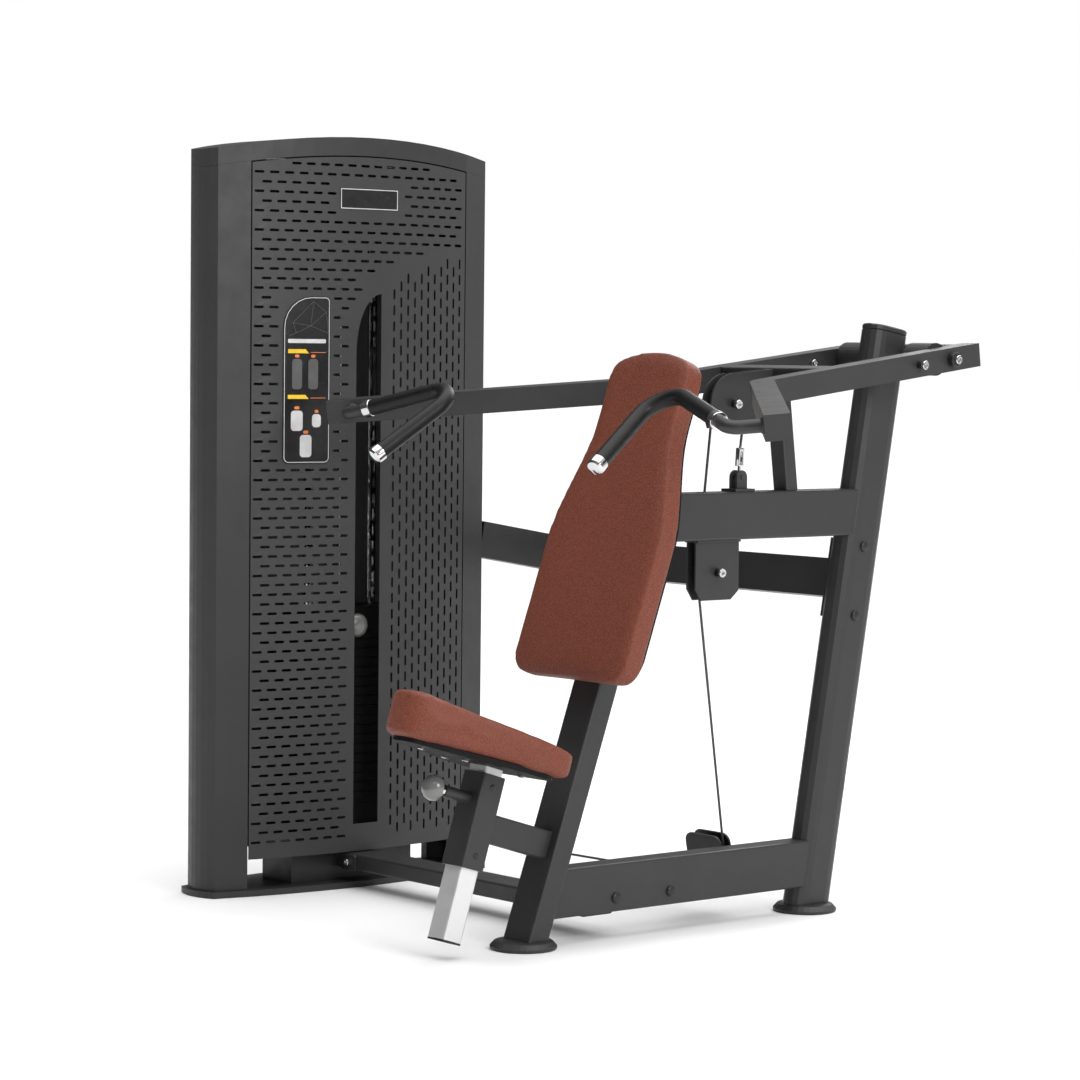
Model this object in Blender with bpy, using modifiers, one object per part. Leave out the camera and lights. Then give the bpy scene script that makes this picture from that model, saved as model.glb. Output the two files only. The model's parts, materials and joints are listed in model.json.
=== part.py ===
"""Shoulder press machine with a weight tower, modelled as separate sub-parts.

World axes: +Z up, the user sits facing -Y, and the weight tower stands on the user's right (-X).
Sizes are in metres. Design coordinates have x = 0 on the seat's middle plane and y = 0 at the
front foot, and the empty named "machine_origin" moves them so that the world origin is under the
middle of the whole machine.
"""

import math

import bmesh
import bpy
from mathutils import Matrix, Vector

# ---------------------------------------------------------------- driving dimensions
ORIGIN = (0.15107, -0.35345, 0.0)         # world place of the design origin
GAP = 0.0003                           # clearance between touching pieces
WALL = 0.003                           # wall of the frame's tubes

# tower
TOWER_X = -0.840
TOWER_Y = 0.202
POST_HALF = 0.047                      # half thickness at the nose's edges
NOSE_HALF_SPAN = 0.333                 # from the tower's middle to a nose's edge
NOSE_BULGE = 0.014
SHROUD_HALF_SPAN = 0.268               # from the tower's middle to a shroud's edge
SHROUD_EDGE = 0.066                    # shroud's face at its edge, from the middle plane
SHROUD_BULGE = 0.029
SHROUD_SHEET = 0.002
SHROUD_BOTTOM = 0.072
POST_BOTTOM = 0.0123
CAP_TOP = 1.500
CAP_TOP_DROP = 0.0313                  # how much lower the cap's top is at a nose's edge
CAP_UNDER = 1.4635
CAP_UNDER_DROP = 0.0293
WINDOW_HALF = 0.031
WINDOW_BOTTOM = 0.127
WINDOW_SIDE_TOP = 1.070
WINDOW_TIP = 1.190
POST_SHEET = 0.003
POST_LIP = 0.018                       # width of the lip behind a shroud's edge
BASE_FLANGE = 0.009                    # how far the floor plate stands out round the tower
BASE_RIM = 0.012
BASE_SHEET = 0.004
BRIDGE_SIZE = (0.100, 0.300, 0.104)
CAP_SHEET = 0.003

# stack
ROD_SPACING = 0.158
ROD_RADIUS = 0.010
ROD_HOLE = 0.012
PLATE_LENGTH = 0.250
PLATE_DEPTH = 0.085
PLATE_PITCH = 0.0195
PLATES_PER_GROUP = 6
STACK_BOTTOM = 0.1635
HEAD_THICK = 0.026
SELECTOR_RADIUS = 0.011
SELECTOR_HOLE = 0.013
PIN_RADIUS = 0.0048
KNOB_RADIUS = 0.024
PIN_KNOB_X = 0.065                     # the pin's knob, from the tower's middle plane
ROD_TOP = 1.322
BRACKET_SIZE = (0.070, 0.620, 0.008)
BRACKET_EAR_HEIGHT = 0.105
BUMPER_SIZE = (0.070, 0.240, 0.0585)
BUMPER_HOLE = 0.020

# pulleys and cable
CABLE_RADIUS = 0.0025
PULLEY_GROOVE = 0.0375                 # radius of the groove's floor
PULLEY_RIM = 0.0445
CORD_CLEARANCE = 0.0014                # how far the cable's inner side rides above the groove
PULLEY_HALF = 0.008
AXLE_RADIUS = 0.005
HOUSING_SHEET = 0.004
HOUSING_HALF = 0.0092                  # half the space between a housing's plates
TOP_PULLEY_Z = 1.385
LOW_CABLE_Y = 0.500
LOW_PULLEY_SMALL = 0.60                # scale of the pulley at the tower's foot
RISER_X = -0.035
RISER_Y = 0.529
LOW_CABLE_Z = 0.068
MID_PULLEY = (0.0, 0.455, 0.667)
PULLEY_FLANK = 0.0025                  # thickness of a pulley's rim
GROOVE_HALF = 0.0022
LEVER_PULLEY_SCALE = 1.04
MID_HOUSING_HALF = 0.055
MID_HOUSING_DROP = 0.052               # from the pulley's centre to the plates' lower edge
AXLE_HALF = 0.020
LOW_BRACKET_DROP = 0.048
LOW_BRACKET_RISE = 0.052
LOW_BRACKET_CORNER = 0.018
LEVER_HOUSING_RADIUS = 0.058
TURNBUCKLE_TOP = (0.0, 0.5225, 0.9045)
TURNBUCKLE_LOW = (0.0, 0.5195, 0.8520)
CLEVIS_Y = 0.518
CLEVIS_BASE = (0.040, 0.050, 0.005)
CLEVIS_PIN_Z = 0.022                   # above the clevis's base
CLEVIS_EAR = 0.013                     # radius of an ear's round top
CLEVIS_EAR_X = 0.0085

# base and seat column
BEAM_WIDTH = 0.050
BEAM_HEIGHT = 0.090
BASE_BEAM_Z = 0.095
UPPER_BEAM_Z = 0.7735
FOOT_RADIUS = 0.0615
FOOT_HEIGHT = 0.016
UPRIGHT_WIDTH = 0.075
UPRIGHT_DEPTH = 0.045
UPRIGHT_LEAN = math.radians(19.4)
UPRIGHT_TOP = 0.850
COLUMN_Y = 0.710
COLUMN_HALF_DEPTH = 0.050
COLUMN_HALF_WIDTH = 0.029
COLUMN_LEAN = math.radians(9.84)
COLUMN_TOP = 1.122
CROSS_TUBE_Z = 0.640
CROSS_TUBE_HEIGHT = 0.075
CROSS_TUBE_WIDTH = 0.045
LOWER_TUBE_Z = 0.053
LOWER_TUBE_HEIGHT = 0.032
LOWER_TUBE_WIDTH = 0.075

# seat
SEAT_LEAN = math.radians(17.2)
SEAT_AXIS_Y = -0.0853                  # where the seat's axis meets the pad's underside
SEAT_AXIS_Z = 0.3459
HOUSING_WIDTH = 0.060
HOUSING_DEPTH = 0.0515
SEAT_POST_WIDTH = 0.048
SEAT_POST_DEPTH = 0.042
SEAT_BOARD_THICK = 0.010
SEAT_REAR = 0.095                      # the seat's plan, from its axis
SEAT_NOSE = -0.228
SEAT_WIDE_HALF = 0.140
SEAT_NOSE_HALF = 0.058
SEAT_REAR_RADIUS = 0.030
SEAT_FLANK_START = 0.090               # where a flank begins, before the rear edge
SEAT_BOARD_INSET = 0.022
SEAT_PAD_TOP = 0.084                   # the pad's top near its nose, along the seat's axis
SEAT_PAD_SLOPE = math.radians(6.4)
HOUSING_TOP = -0.0228
HOUSING_LENGTH = 0.172
SEAT_POST_LOW = -0.3265
BARREL_RADIUS = 0.011
BARREL_LENGTH = 0.058
BARREL_DROP = 0.050                    # the pop pin, below the housing's top
POP_PIN_RADIUS = 0.004
SEAT_ARM_SIZE = (0.040, 0.052)
SEAT_ARM_DROP = -0.115

# back rest
BACK_LEAN = math.radians(19.6)
BACK_BOTTOM = 0.488
BACK_LENGTH = 0.637
BACK_THICK = 0.048
BACK_BOARD_THICK = 0.008
BACK_WIDE_HALF = 0.162
BACK_NARROW_HALF = 0.111
WAIST_LOW = 0.262
WAIST_HIGH = 0.500
BACK_CROWN = 0.012                     # how much the top edge rises in its middle

# lever
PIVOT_Y = 0.925
PIVOT_Z = 1.0717
LEVER_TILT = math.radians(7.12)
ARM_TUBE = 0.045
ARM_REAR = (0.138, 0.0816)             # arm's middle line, in the lever's own tilted frame
ARM_BEND = (0.162, -0.5049)
ARM_END = (0.627, -0.9136)
CROSSMEMBER_Y = -0.311
LEVER_PULLEY = (-0.4406, -0.0333)
HUB_RADIUS = 0.032
SHAFT_RADIUS = 0.0125
HANDLE_RADIUS = 0.012
GRIP_RADIUS = 0.015
GRIP_CAP_RADIUS = 0.0165
GRIP_CAP_LENGTH = 0.024
HUB_REACH = (0.060, 0.1205)            # a hub's inner and outer ends, from the middle plane
SHAFT_HALF = 0.176
STOP_PAD_SIZE = (0.044, 0.045, 0.010)
STOP_POST_SIZE = (0.038, 0.031)

# instruction placard
PLACARD_SPAN = (-0.1995, -0.0950)      # along the shroud, from the tower's middle
PLACARD_HEIGHT = (0.8530, 1.1825)
PLACARD_SHEET = 0.0015
PLACARD_CORNER = 0.012
PLACARD_SWEEP = 0.062                  # radius of its upper front corner

ROUND_STEPS = 24
FAR = 3.0                              # longer than anything here, for cutters


# ---------------------------------------------------------------- scene and materials
for old in list(bpy.data.objects):
    bpy.data.objects.remove(old)


def new_collection(name):
    collection = bpy.data.collections.new(name)
    bpy.context.scene.collection.children.link(collection)
    return collection


PARTS = new_collection("shoulder_press_machine")
CUTTERS = new_collection("cutters")
CUTTERS.hide_render = True

machine_origin = bpy.data.objects.new("machine_origin", None)
machine_origin.location = ORIGIN
PARTS.objects.link(machine_origin)


def material(name, colour, roughness, metallic):
    made = bpy.data.materials.new(name)
    made.use_nodes = True
    shader = made.node_tree.nodes["Principled BSDF"]
    shader.inputs["Base Color"].default_value = (*colour, 1.0)
    shader.inputs["Roughness"].default_value = roughness
    shader.inputs["Metallic"].default_value = metallic
    made.diffuse_color = (*colour, 1.0)
    return made


FRAME_PAINT = material("frame_paint", (0.052, 0.052, 0.051), 0.50, 0.2)
SHROUD_PAINT = material("shroud_paint", (0.070, 0.070, 0.070), 0.50, 0.2)
CHROME = material("chrome", (0.80, 0.80, 0.80), 0.12, 1.0)
CAST_PLATE = material("cast_plate", (0.018, 0.018, 0.018), 0.60, 0.3)
LEATHER = material("leather", (0.165, 0.056, 0.036), 0.55, 0.0)
RUBBER = material("rubber", (0.012, 0.012, 0.012), 0.75, 0.0)
NYLON = material("nylon", (0.020, 0.020, 0.020), 0.45, 0.0)
KNOB_PLASTIC = material("knob_plastic", (0.27, 0.26, 0.25), 0.35, 0.0)
CABLE_COAT = material("cable_coat", (0.020, 0.020, 0.020), 0.40, 0.0)
PRINT_PLATE = material("print_plate", (0.015, 0.015, 0.015), 0.35, 0.0)


def finish_part(obj, surface, parent=machine_origin, matrix=None):
    """Names the object's material, links it among the parts and places it under its parent."""
    obj.data.materials.clear()
    obj.data.materials.append(surface.copy())
    obj.data.materials[0].name = surface.name + "_" + obj.name
    for collection in list(obj.users_collection):
        collection.objects.unlink(obj)
    PARTS.objects.link(obj)
    if matrix is not None:
        obj.matrix_world = matrix
    obj.parent = parent
    return obj


# ---------------------------------------------------------------- shape helpers
def mesh_object(name, mesh):
    obj = bpy.data.objects.new(name, mesh)
    CUTTERS.objects.link(obj)
    return obj


def apply_matrix(obj, matrix):
    obj.data.transform(matrix)
    return obj


def box(name, size, centre=(0.0, 0.0, 0.0)):
    made = bmesh.new()
    bmesh.ops.create_cube(made, size=1.0)
    bmesh.ops.scale(made, vec=size, verts=made.verts)
    bmesh.ops.translate(made, vec=centre, verts=made.verts)
    mesh = bpy.data.meshes.new(name)
    made.to_mesh(mesh)
    made.free()
    return mesh_object(name, mesh)


def cylinder(name, radius, start, end, steps=ROUND_STEPS, end_radius=None):
    """A closed round bar or cone from one point to another."""
    start = Vector(start)
    along = Vector(end) - start
    made = bmesh.new()
    bmesh.ops.create_cone(
        made,
        cap_ends=True,
        segments=steps,
        radius1=radius,
        radius2=radius if end_radius is None else end_radius,
        depth=along.length,
    )
    turn = along.to_track_quat("Z", "Y").to_matrix().to_4x4()
    made.transform(Matrix.Translation(start + along / 2) @ turn)
    mesh = bpy.data.meshes.new(name)
    made.to_mesh(mesh)
    made.free()
    return mesh_object(name, mesh)


def as_mesh(obj):
    """Turns a curve object into a mesh object with its loose caps joined."""
    graph = bpy.context.evaluated_depsgraph_get()
    mesh = bpy.data.meshes.new_from_object(obj.evaluated_get(graph))
    name = obj.name
    world = obj.matrix_world.copy()
    bpy.data.objects.remove(obj)
    made = bmesh.new()
    made.from_mesh(mesh)
    bmesh.ops.remove_doubles(made, verts=made.verts, dist=0.00001)
    bmesh.ops.recalc_face_normals(made, faces=made.faces)
    made.to_mesh(mesh)
    made.free()
    mesh.name = name
    result = mesh_object(name, mesh)
    result.matrix_world = world
    return result


def outline(name, loops, low, high):
    """A flat outline (with holes as further loops) raised from height low to height high."""
    curve = bpy.data.curves.new(name, "CURVE")
    curve.dimensions = "2D"
    curve.fill_mode = "BOTH"
    curve.extrude = (high - low) / 2
    for points in loops:
        spline = curve.splines.new("POLY")
        spline.points.add(len(points) - 1)
        for point, (x, y) in zip(spline.points, points):
            point.co = (x, y, 0.0, 1.0)
        spline.use_cyclic_u = True
    obj = bpy.data.objects.new(name, curve)
    CUTTERS.objects.link(obj)
    bpy.context.view_layer.update()
    result = as_mesh(obj)
    return apply_matrix(result, Matrix.Translation((0.0, 0.0, (low + high) / 2)))


def round_bar(name, points, radius, sides=3):
    """A round bar along a list of points."""
    curve = bpy.data.curves.new(name, "CURVE")
    curve.dimensions = "3D"
    curve.bevel_depth = radius
    curve.bevel_resolution = sides
    curve.use_fill_caps = True
    spline = curve.splines.new("POLY")
    spline.points.add(len(points) - 1)
    for point, place in zip(spline.points, points):
        point.co = (*place, 1.0)
    obj = bpy.data.objects.new(name, curve)
    CUTTERS.objects.link(obj)
    bpy.context.view_layer.update()
    return as_mesh(obj)


def turned(name, profile, steps=ROUND_STEPS):
    """A solid of revolution about local Z: the profile runs down its outer side, top to bottom."""
    mesh = bpy.data.meshes.new(name)
    points = [(radius, 0.0, height) for radius, height in profile]
    edges = []
    for index, (radius, _) in enumerate(profile):
        following = (index + 1) % len(profile)
        if radius > 0.0 or profile[following][0] > 0.0:
            edges.append((index, following))
    mesh.from_pydata(points, edges, [])
    obj = mesh_object(name, mesh)
    screw = obj.modifiers.new("turn", "SCREW")
    screw.steps = steps
    screw.render_steps = steps
    screw.use_merge_vertices = True
    screw.merge_threshold = 0.00001
    bpy.context.view_layer.update()
    graph = bpy.context.evaluated_depsgraph_get()
    solid = bpy.data.meshes.new_from_object(obj.evaluated_get(graph))
    bpy.data.objects.remove(obj)
    solid.name = name
    return mesh_object(name, solid)


def combine(obj, other, operation):
    """Joins or cuts with an exact Boolean, and keeps the other solid as a hidden guide."""
    other.hide_render = True
    other.display_type = "WIRE"
    modifier = obj.modifiers.new(operation.lower(), "BOOLEAN")
    modifier.operation = operation
    modifier.solver = "EXACT"
    modifier.object = other
    bpy.context.view_layer.update()
    graph = bpy.context.evaluated_depsgraph_get()
    result = bpy.data.meshes.new_from_object(obj.evaluated_get(graph))
    obj.modifiers.remove(modifier)
    cleaned = bmesh.new()
    cleaned.from_mesh(result)
    bmesh.ops.remove_doubles(cleaned, verts=cleaned.verts, dist=0.00001)
    cleaned.to_mesh(result)
    cleaned.free()
    obj.data = result
    other.name = "cut_" + obj.name
    return obj


def cut(obj, *others):
    for other in others:
        combine(obj, other, "DIFFERENCE")
    return obj


def join(obj, *others):
    for other in others:
        combine(obj, other, "UNION")
    return obj


def soften(obj, width, segments=2):
    """Rounds a solid's sharp edges."""
    modifier = obj.modifiers.new("rounded", "BEVEL")
    modifier.width = width
    modifier.segments = segments
    modifier.limit_method = "ANGLE"
    modifier.angle_limit = math.radians(40)
    return obj


def smooth(obj, degrees=35):
    obj.data.shade_smooth()
    obj.data.set_sharp_from_angle(angle=math.radians(degrees))
    return obj


# ---------------------------------------------------------------- outline helpers
def arc_points(centre, radius, start, end, count):
    """Points on an arc, angles in degrees."""
    result = []
    for index in range(count + 1):
        angle = math.radians(start + (end - start) * index / count)
        result.append((centre[0] + radius * math.cos(angle), centre[1] + radius * math.sin(angle)))
    return result


def rounded_rectangle(width, height, radius=0.0, count=3):
    if radius == 0.0:
        return [(width / 2, -height / 2), (width / 2, height / 2),
                (-width / 2, height / 2), (-width / 2, -height / 2)]
    points = []
    corners = ((1, -1, -90), (1, 1, 0), (-1, 1, 90), (-1, -1, 180))
    for side_x, side_y, start in corners:
        centre = (side_x * (width / 2 - radius), side_y * (height / 2 - radius))
        points += arc_points(centre, radius, start, start + 90, count)
    return points


def racetrack(half_length, half_width, count=8):
    """An oval with straight flanks, long along Y."""
    offset = half_length - half_width
    return (arc_points((0.0, offset), half_width, 0, 180, count)
            + arc_points((0.0, -offset), half_width, 180, 360, count))


def fillet_path(points, radii, count=6):
    """A path through points, with each inner corner turned into an arc of its radius."""
    points = [Vector(point) for point in points]
    path = [points[0]]
    for before, corner, after, radius in zip(points, points[1:], points[2:], radii):
        to_before = (before - corner).normalized()
        to_after = (after - corner).normalized()
        half = to_before.angle(to_after) / 2
        reach = radius / math.tan(half)
        middle = corner + (to_before + to_after).normalized() * (radius / math.sin(half))
        start = corner + to_before * reach - middle
        end = corner + to_after * reach - middle
        for index in range(count + 1):
            path.append(middle + start.slerp(end, index / count).normalized() * radius)
    path.append(points[-1])
    return path


def strip(path, half):
    """The outline of a band of even width along a flat path."""
    left = []
    right = []
    for index, place in enumerate(path):
        before = path[max(index - 1, 0)]
        after = path[min(index + 1, len(path) - 1)]
        first = (place - before).normalized() if index else (after - place).normalized()
        second = (after - place).normalized() if index < len(path) - 1 else first
        bisector = (first + second).normalized()
        side = Vector((-bisector.y, bisector.x, 0.0))
        width = half / max(bisector.dot(first), 0.2)
        left.append((place.x + side.x * width, place.y + side.y * width))
        right.append((place.x - side.x * width, place.y - side.y * width))
    return left + right[::-1]


def lean_matrix(y, lean):
    """A frame at height 0 and the given y whose Z axis leans rearward."""
    return Matrix.Translation((0.0, y, 0.0)) @ Matrix.Rotation(-lean, 4, "X")


def hollow_bar(name, width, depth, low, high, radius=0.004, wall=WALL):
    """A rectangular tube along local Z, open at both ends."""
    outer = rounded_rectangle(width, depth, radius, 2)
    inner = rounded_rectangle(width - 2 * wall, depth - 2 * wall)
    return outline(name, [outer, inner[::-1]], low, high)


def horizontal(obj, axis):
    """Turns a bar made along Z so that it runs along X or Y."""
    if axis == "Y":
        return apply_matrix(obj, Matrix.Rotation(math.radians(-90), 4, "X"))
    return apply_matrix(obj, Matrix.Rotation(math.radians(90), 4, "Y"))


def raised_along_x(x=0.0, y=0.0, z=0.0):
    """Turns a solid raised from a flat outline (along Y, height) so that it is raised along X."""
    return Matrix(((0, 0, 1, x), (1, 0, 0, y), (0, 1, 0, z), (0, 0, 0, 1)))


# ---------------------------------------------------------------- shapes shared by the frame
def upright_axis_y(z):
    return 0.001 + math.tan(UPRIGHT_LEAN) * z


def column_axis_y(z):
    return COLUMN_Y + math.tan(COLUMN_LEAN) * z


def floor_cutter(top):
    return box("floor", (FAR, FAR, 1.0), (0.0, 0.0, top - 0.5))


def upright_clearance():
    solid = box("clearance", (UPRIGHT_WIDTH + 2 * GAP, UPRIGHT_DEPTH + 2 * GAP, FAR))
    return apply_matrix(solid, lean_matrix(upright_axis_y(0.0), UPRIGHT_LEAN))


def column_clearance():
    loop = racetrack(COLUMN_HALF_DEPTH + GAP, COLUMN_HALF_WIDTH + GAP)
    solid = outline("clearance", [loop], -0.2, 1.5)
    return apply_matrix(solid, lean_matrix(COLUMN_Y, COLUMN_LEAN))


def foot(name, y):
    profile = ((0.046, FOOT_HEIGHT), (0.054, FOOT_HEIGHT - 0.002), (FOOT_RADIUS, 0.006),
               (FOOT_RADIUS, 0.002), (FOOT_RADIUS - 0.002, 0.0), (0.0, 0.0), (0.0, FOOT_HEIGHT))
    obj = turned(name, profile, 32)
    apply_matrix(obj, Matrix.Translation((0.0, y, 0.0)))
    finish_part(smooth(obj), FRAME_PAINT)


def build_base():
    foot("front_foot", upright_axis_y(0.0))
    foot("rear_foot", COLUMN_Y)

    upright = hollow_bar("seat_upright", UPRIGHT_WIDTH, UPRIGHT_DEPTH, -0.05,
                         UPRIGHT_TOP / math.cos(UPRIGHT_LEAN))
    apply_matrix(upright, lean_matrix(upright_axis_y(0.0), UPRIGHT_LEAN))
    cut(upright, floor_cutter(FOOT_HEIGHT + GAP))
    finish_part(upright, FRAME_PAINT)

    outer = racetrack(COLUMN_HALF_DEPTH, COLUMN_HALF_WIDTH)
    inner = racetrack(COLUMN_HALF_DEPTH - WALL, COLUMN_HALF_WIDTH - WALL)
    column = outline("rear_column", [outer, inner[::-1]], -0.05,
                     COLUMN_TOP / math.cos(COLUMN_LEAN))
    apply_matrix(column, lean_matrix(COLUMN_Y, COLUMN_LEAN))
    bore = cylinder("bore", SHAFT_RADIUS + 0.0005, (-0.1, PIVOT_Y, PIVOT_Z),
                    (0.1, PIVOT_Y, PIVOT_Z))
    cut(column, floor_cutter(FOOT_HEIGHT + GAP), bore)
    finish_part(smooth(column), FRAME_PAINT)

    cap = outline("column_cap", [outer], 0.0, 0.011)
    soften(cap, 0.006, 1)
    matrix = lean_matrix(COLUMN_Y, COLUMN_LEAN)
    matrix = matrix @ Matrix.Translation((0.0, 0.0, COLUMN_TOP / math.cos(COLUMN_LEAN) + GAP))
    apply_matrix(cap, matrix)
    finish_part(cap, FRAME_PAINT)

    for name, height, start, end in (("base_beam", BASE_BEAM_Z, 0.030, 0.700),
                                     ("upper_beam", UPPER_BEAM_Z, 0.270, 0.820)):
        beam = horizontal(hollow_bar(name, BEAM_WIDTH, BEAM_HEIGHT, start, end), "Y")
        apply_matrix(beam, Matrix.Translation((0.0, 0.0, height)))
        cut(beam, upright_clearance(), column_clearance())
        if name == "upper_beam":
            place = (0.0, mid_pulley_tangent()[1] + 0.010, height)
            hole = cylinder("cable_hole", 0.011, (0.0, place[1], 0.70), (0.0, place[1], 0.85), 16)
            cut(beam, hole)
        finish_part(beam, FRAME_PAINT)


def build_cross_tube():
    """The bent tube that ties the column to the tower's rear post, and the low one under it."""
    centre_y = column_axis_y(CROSS_TUBE_Z)
    flange_x = -COLUMN_HALF_WIDTH - GAP
    start = Vector((TOWER_X, TOWER_Y + NOSE_HALF_SPAN + NOSE_BULGE + 0.003 - centre_y, 0.0))
    corner = Vector((TOWER_X, 0.0, 0.0))
    end = Vector((flange_x - 0.004, 0.0, 0.0))
    path = fillet_path([start, corner, end], [0.090])
    half = CROSS_TUBE_WIDTH / 2
    tall = CROSS_TUBE_HEIGHT / 2
    tube = outline("cross_tube", [strip(path, half)], -tall, tall)
    longer = [start + Vector((0.0, -0.05, 0.0))] + path[1:-1] + [end - Vector((0.006, 0.0, 0.0))]
    hollow = outline("hollow", [strip(longer, half - WALL)], WALL - tall, tall - WALL)
    cut(tube, hollow)
    flange = box("flange", (0.008, 0.062, 0.155), (flange_x - 0.004, 0.0, 0.0))
    join(tube, flange)
    tilt = Matrix.Translation((0.0, centre_y, CROSS_TUBE_Z)) @ Matrix.Rotation(-COLUMN_LEAN, 4, "X")
    apply_matrix(tube, tilt)
    finish_part(tube, FRAME_PAINT)

    low = horizontal(hollow_bar("lower_tube", LOWER_TUBE_HEIGHT, LOWER_TUBE_WIDTH,
                                TOWER_X + 0.0503, -BEAM_WIDTH / 2 - GAP), "X")
    apply_matrix(low, Matrix.Translation((0.0, 0.198, LOWER_TUBE_Z)))
    finish_part(low, FRAME_PAINT)


# ---------------------------------------------------------------- tower
def bow(half_span, bulge, count, reach=None):
    """Points (along, out) on a shallow arc that stands out by bulge in its middle."""
    radius = (half_span ** 2 + bulge ** 2) / (2 * bulge)
    reach = half_span if reach is None else reach
    points = []
    for index in range(count + 1):
        along = -reach + 2 * reach * index / count
        points.append((along, math.sqrt(radius ** 2 - along ** 2) - radius + bulge))
    return points


def arch_prism(name, crown, drop, low=None):
    """A solid across the whole tower: under the arch down to low, or over it when low is None."""
    arch = bow(NOSE_HALF_SPAN, drop, 16, NOSE_HALF_SPAN + 0.05)
    points = [(TOWER_Y + along, crown - drop + out) for along, out in arch]
    level = 2.0 if low is None else low
    loop = points + [(points[-1][0], level), (points[0][0], level)]
    solid = outline(name, [loop], -0.4, 0.4)
    return apply_matrix(solid, raised_along_x(TOWER_X))


def nose_arc(half, span, bulge, count=6):
    """The curved nose of a post, from its +X edge to its -X edge, at the -Y end."""
    return [(along, -span - out) for along, out in bow(half, bulge, count)[::-1]]


def post_outline():
    """The front post's sheet seen from above: a nose and two flanks that open rearward."""
    outer = nose_arc(POST_HALF, NOSE_HALF_SPAN, NOSE_BULGE)
    outer += [(-SHROUD_EDGE, -SHROUD_HALF_SPAN - GAP)]
    inner = nose_arc(POST_HALF - POST_SHEET, NOSE_HALF_SPAN - POST_SHEET, NOSE_BULGE)
    lip = [(-SHROUD_EDGE + POST_LIP, -SHROUD_HALF_SPAN - GAP),
           (-SHROUD_EDGE + POST_LIP, -SHROUD_HALF_SPAN - POST_SHEET),
           (-SHROUD_EDGE + 1.5 * POST_SHEET, -SHROUD_HALF_SPAN - POST_SHEET)]
    mirrored = [(-x, y) for x, y in lip[::-1]]
    return outer + lip + inner[::-1] + mirrored + [(SHROUD_EDGE, -SHROUD_HALF_SPAN - GAP)]


def build_posts():
    for name, side in (("tower_front_post", 1), ("tower_rear_post", -1)):
        loop = [(side * x + TOWER_X, side * y + TOWER_Y) for x, y in post_outline()]
        post = outline(name, [loop], POST_BOTTOM, CAP_TOP)
        cut(post, arch_prism("over", CAP_UNDER - GAP, CAP_UNDER_DROP))
        if side < 0:
            low = cylinder("cable_way", 0.012, (TOWER_X, LOW_CABLE_Y, LOW_CABLE_Z + CABLE_RADIUS),
                           (TOWER_X + 0.1, LOW_CABLE_Y, LOW_CABLE_Z + CABLE_RADIUS), 16)
            cut(post, low)
        finish_part(smooth(post), FRAME_PAINT)


def lens(grow=0.0):
    """The tower's whole outline seen from above."""
    shroud = [(SHROUD_EDGE + out + grow, along)
              for along, out in bow(SHROUD_HALF_SPAN, SHROUD_BULGE, 12)]
    rear = [(x, -y) for x, y in nose_arc(POST_HALF + grow, NOSE_HALF_SPAN + grow, NOSE_BULGE)]
    loop = shroud + rear
    loop += [(-x, -y) for x, y in shroud]
    loop += [(-x, -y) for x, y in rear]
    return [(x + TOWER_X, y + TOWER_Y) for x, y in loop]


def build_cap():
    cap = outline("tower_top_cap", [lens()], 1.35, 1.55)
    cut(cap, arch_prism("over", CAP_TOP, CAP_TOP_DROP))
    cut(cap, arch_prism("under", CAP_UNDER, CAP_UNDER_DROP, 1.30))
    room = outline("room", [lens(-CAP_SHEET)], 1.30, 1.60)
    cut(room, arch_prism("over_room", CAP_TOP - CAP_SHEET, CAP_TOP_DROP))
    cut(cap, room)
    finish_part(smooth(cap), FRAME_PAINT)


def build_shrouds():
    for name, side in (("tower_inner_shroud", 1), ("tower_outer_shroud", -1)):
        face = bow(SHROUD_HALF_SPAN, SHROUD_BULGE, 12)
        loop = [(side * (SHROUD_EDGE + out), along) for along, out in face]
        back = [(side * (SHROUD_EDGE + out - SHROUD_SHEET), along) for along, out in face]
        loop = [(x + TOWER_X, y + TOWER_Y) for x, y in loop + back[::-1]]
        sheet = outline(name, [loop], SHROUD_BOTTOM, CAP_TOP)
        cut(sheet, arch_prism("over", CAP_UNDER - GAP, CAP_UNDER_DROP))
        if side > 0:
            cut(sheet, window_solid())
        finish_part(smooth(sheet), SHROUD_PAINT)


def window_solid():
    """The slot over the stack: straight sides, and a top that sweeps up to a tip at its rear."""
    sweep = []
    for index in range(9):
        angle = math.radians(90 * index / 8)
        sweep.append((WINDOW_HALF - 2 * WINDOW_HALF * math.cos(angle),
                      WINDOW_SIDE_TOP + (WINDOW_TIP - WINDOW_SIDE_TOP) * math.sin(angle)))
    loop = [(-WINDOW_HALF, WINDOW_BOTTOM), (WINDOW_HALF, WINDOW_BOTTOM),
            (WINDOW_HALF, WINDOW_TIP)] + sweep[::-1][1:]
    loop = [(y + TOWER_Y, z) for y, z in loop]
    solid = outline("window", [loop], 0.0, 0.15)
    return apply_matrix(solid, raised_along_x(TOWER_X))


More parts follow.
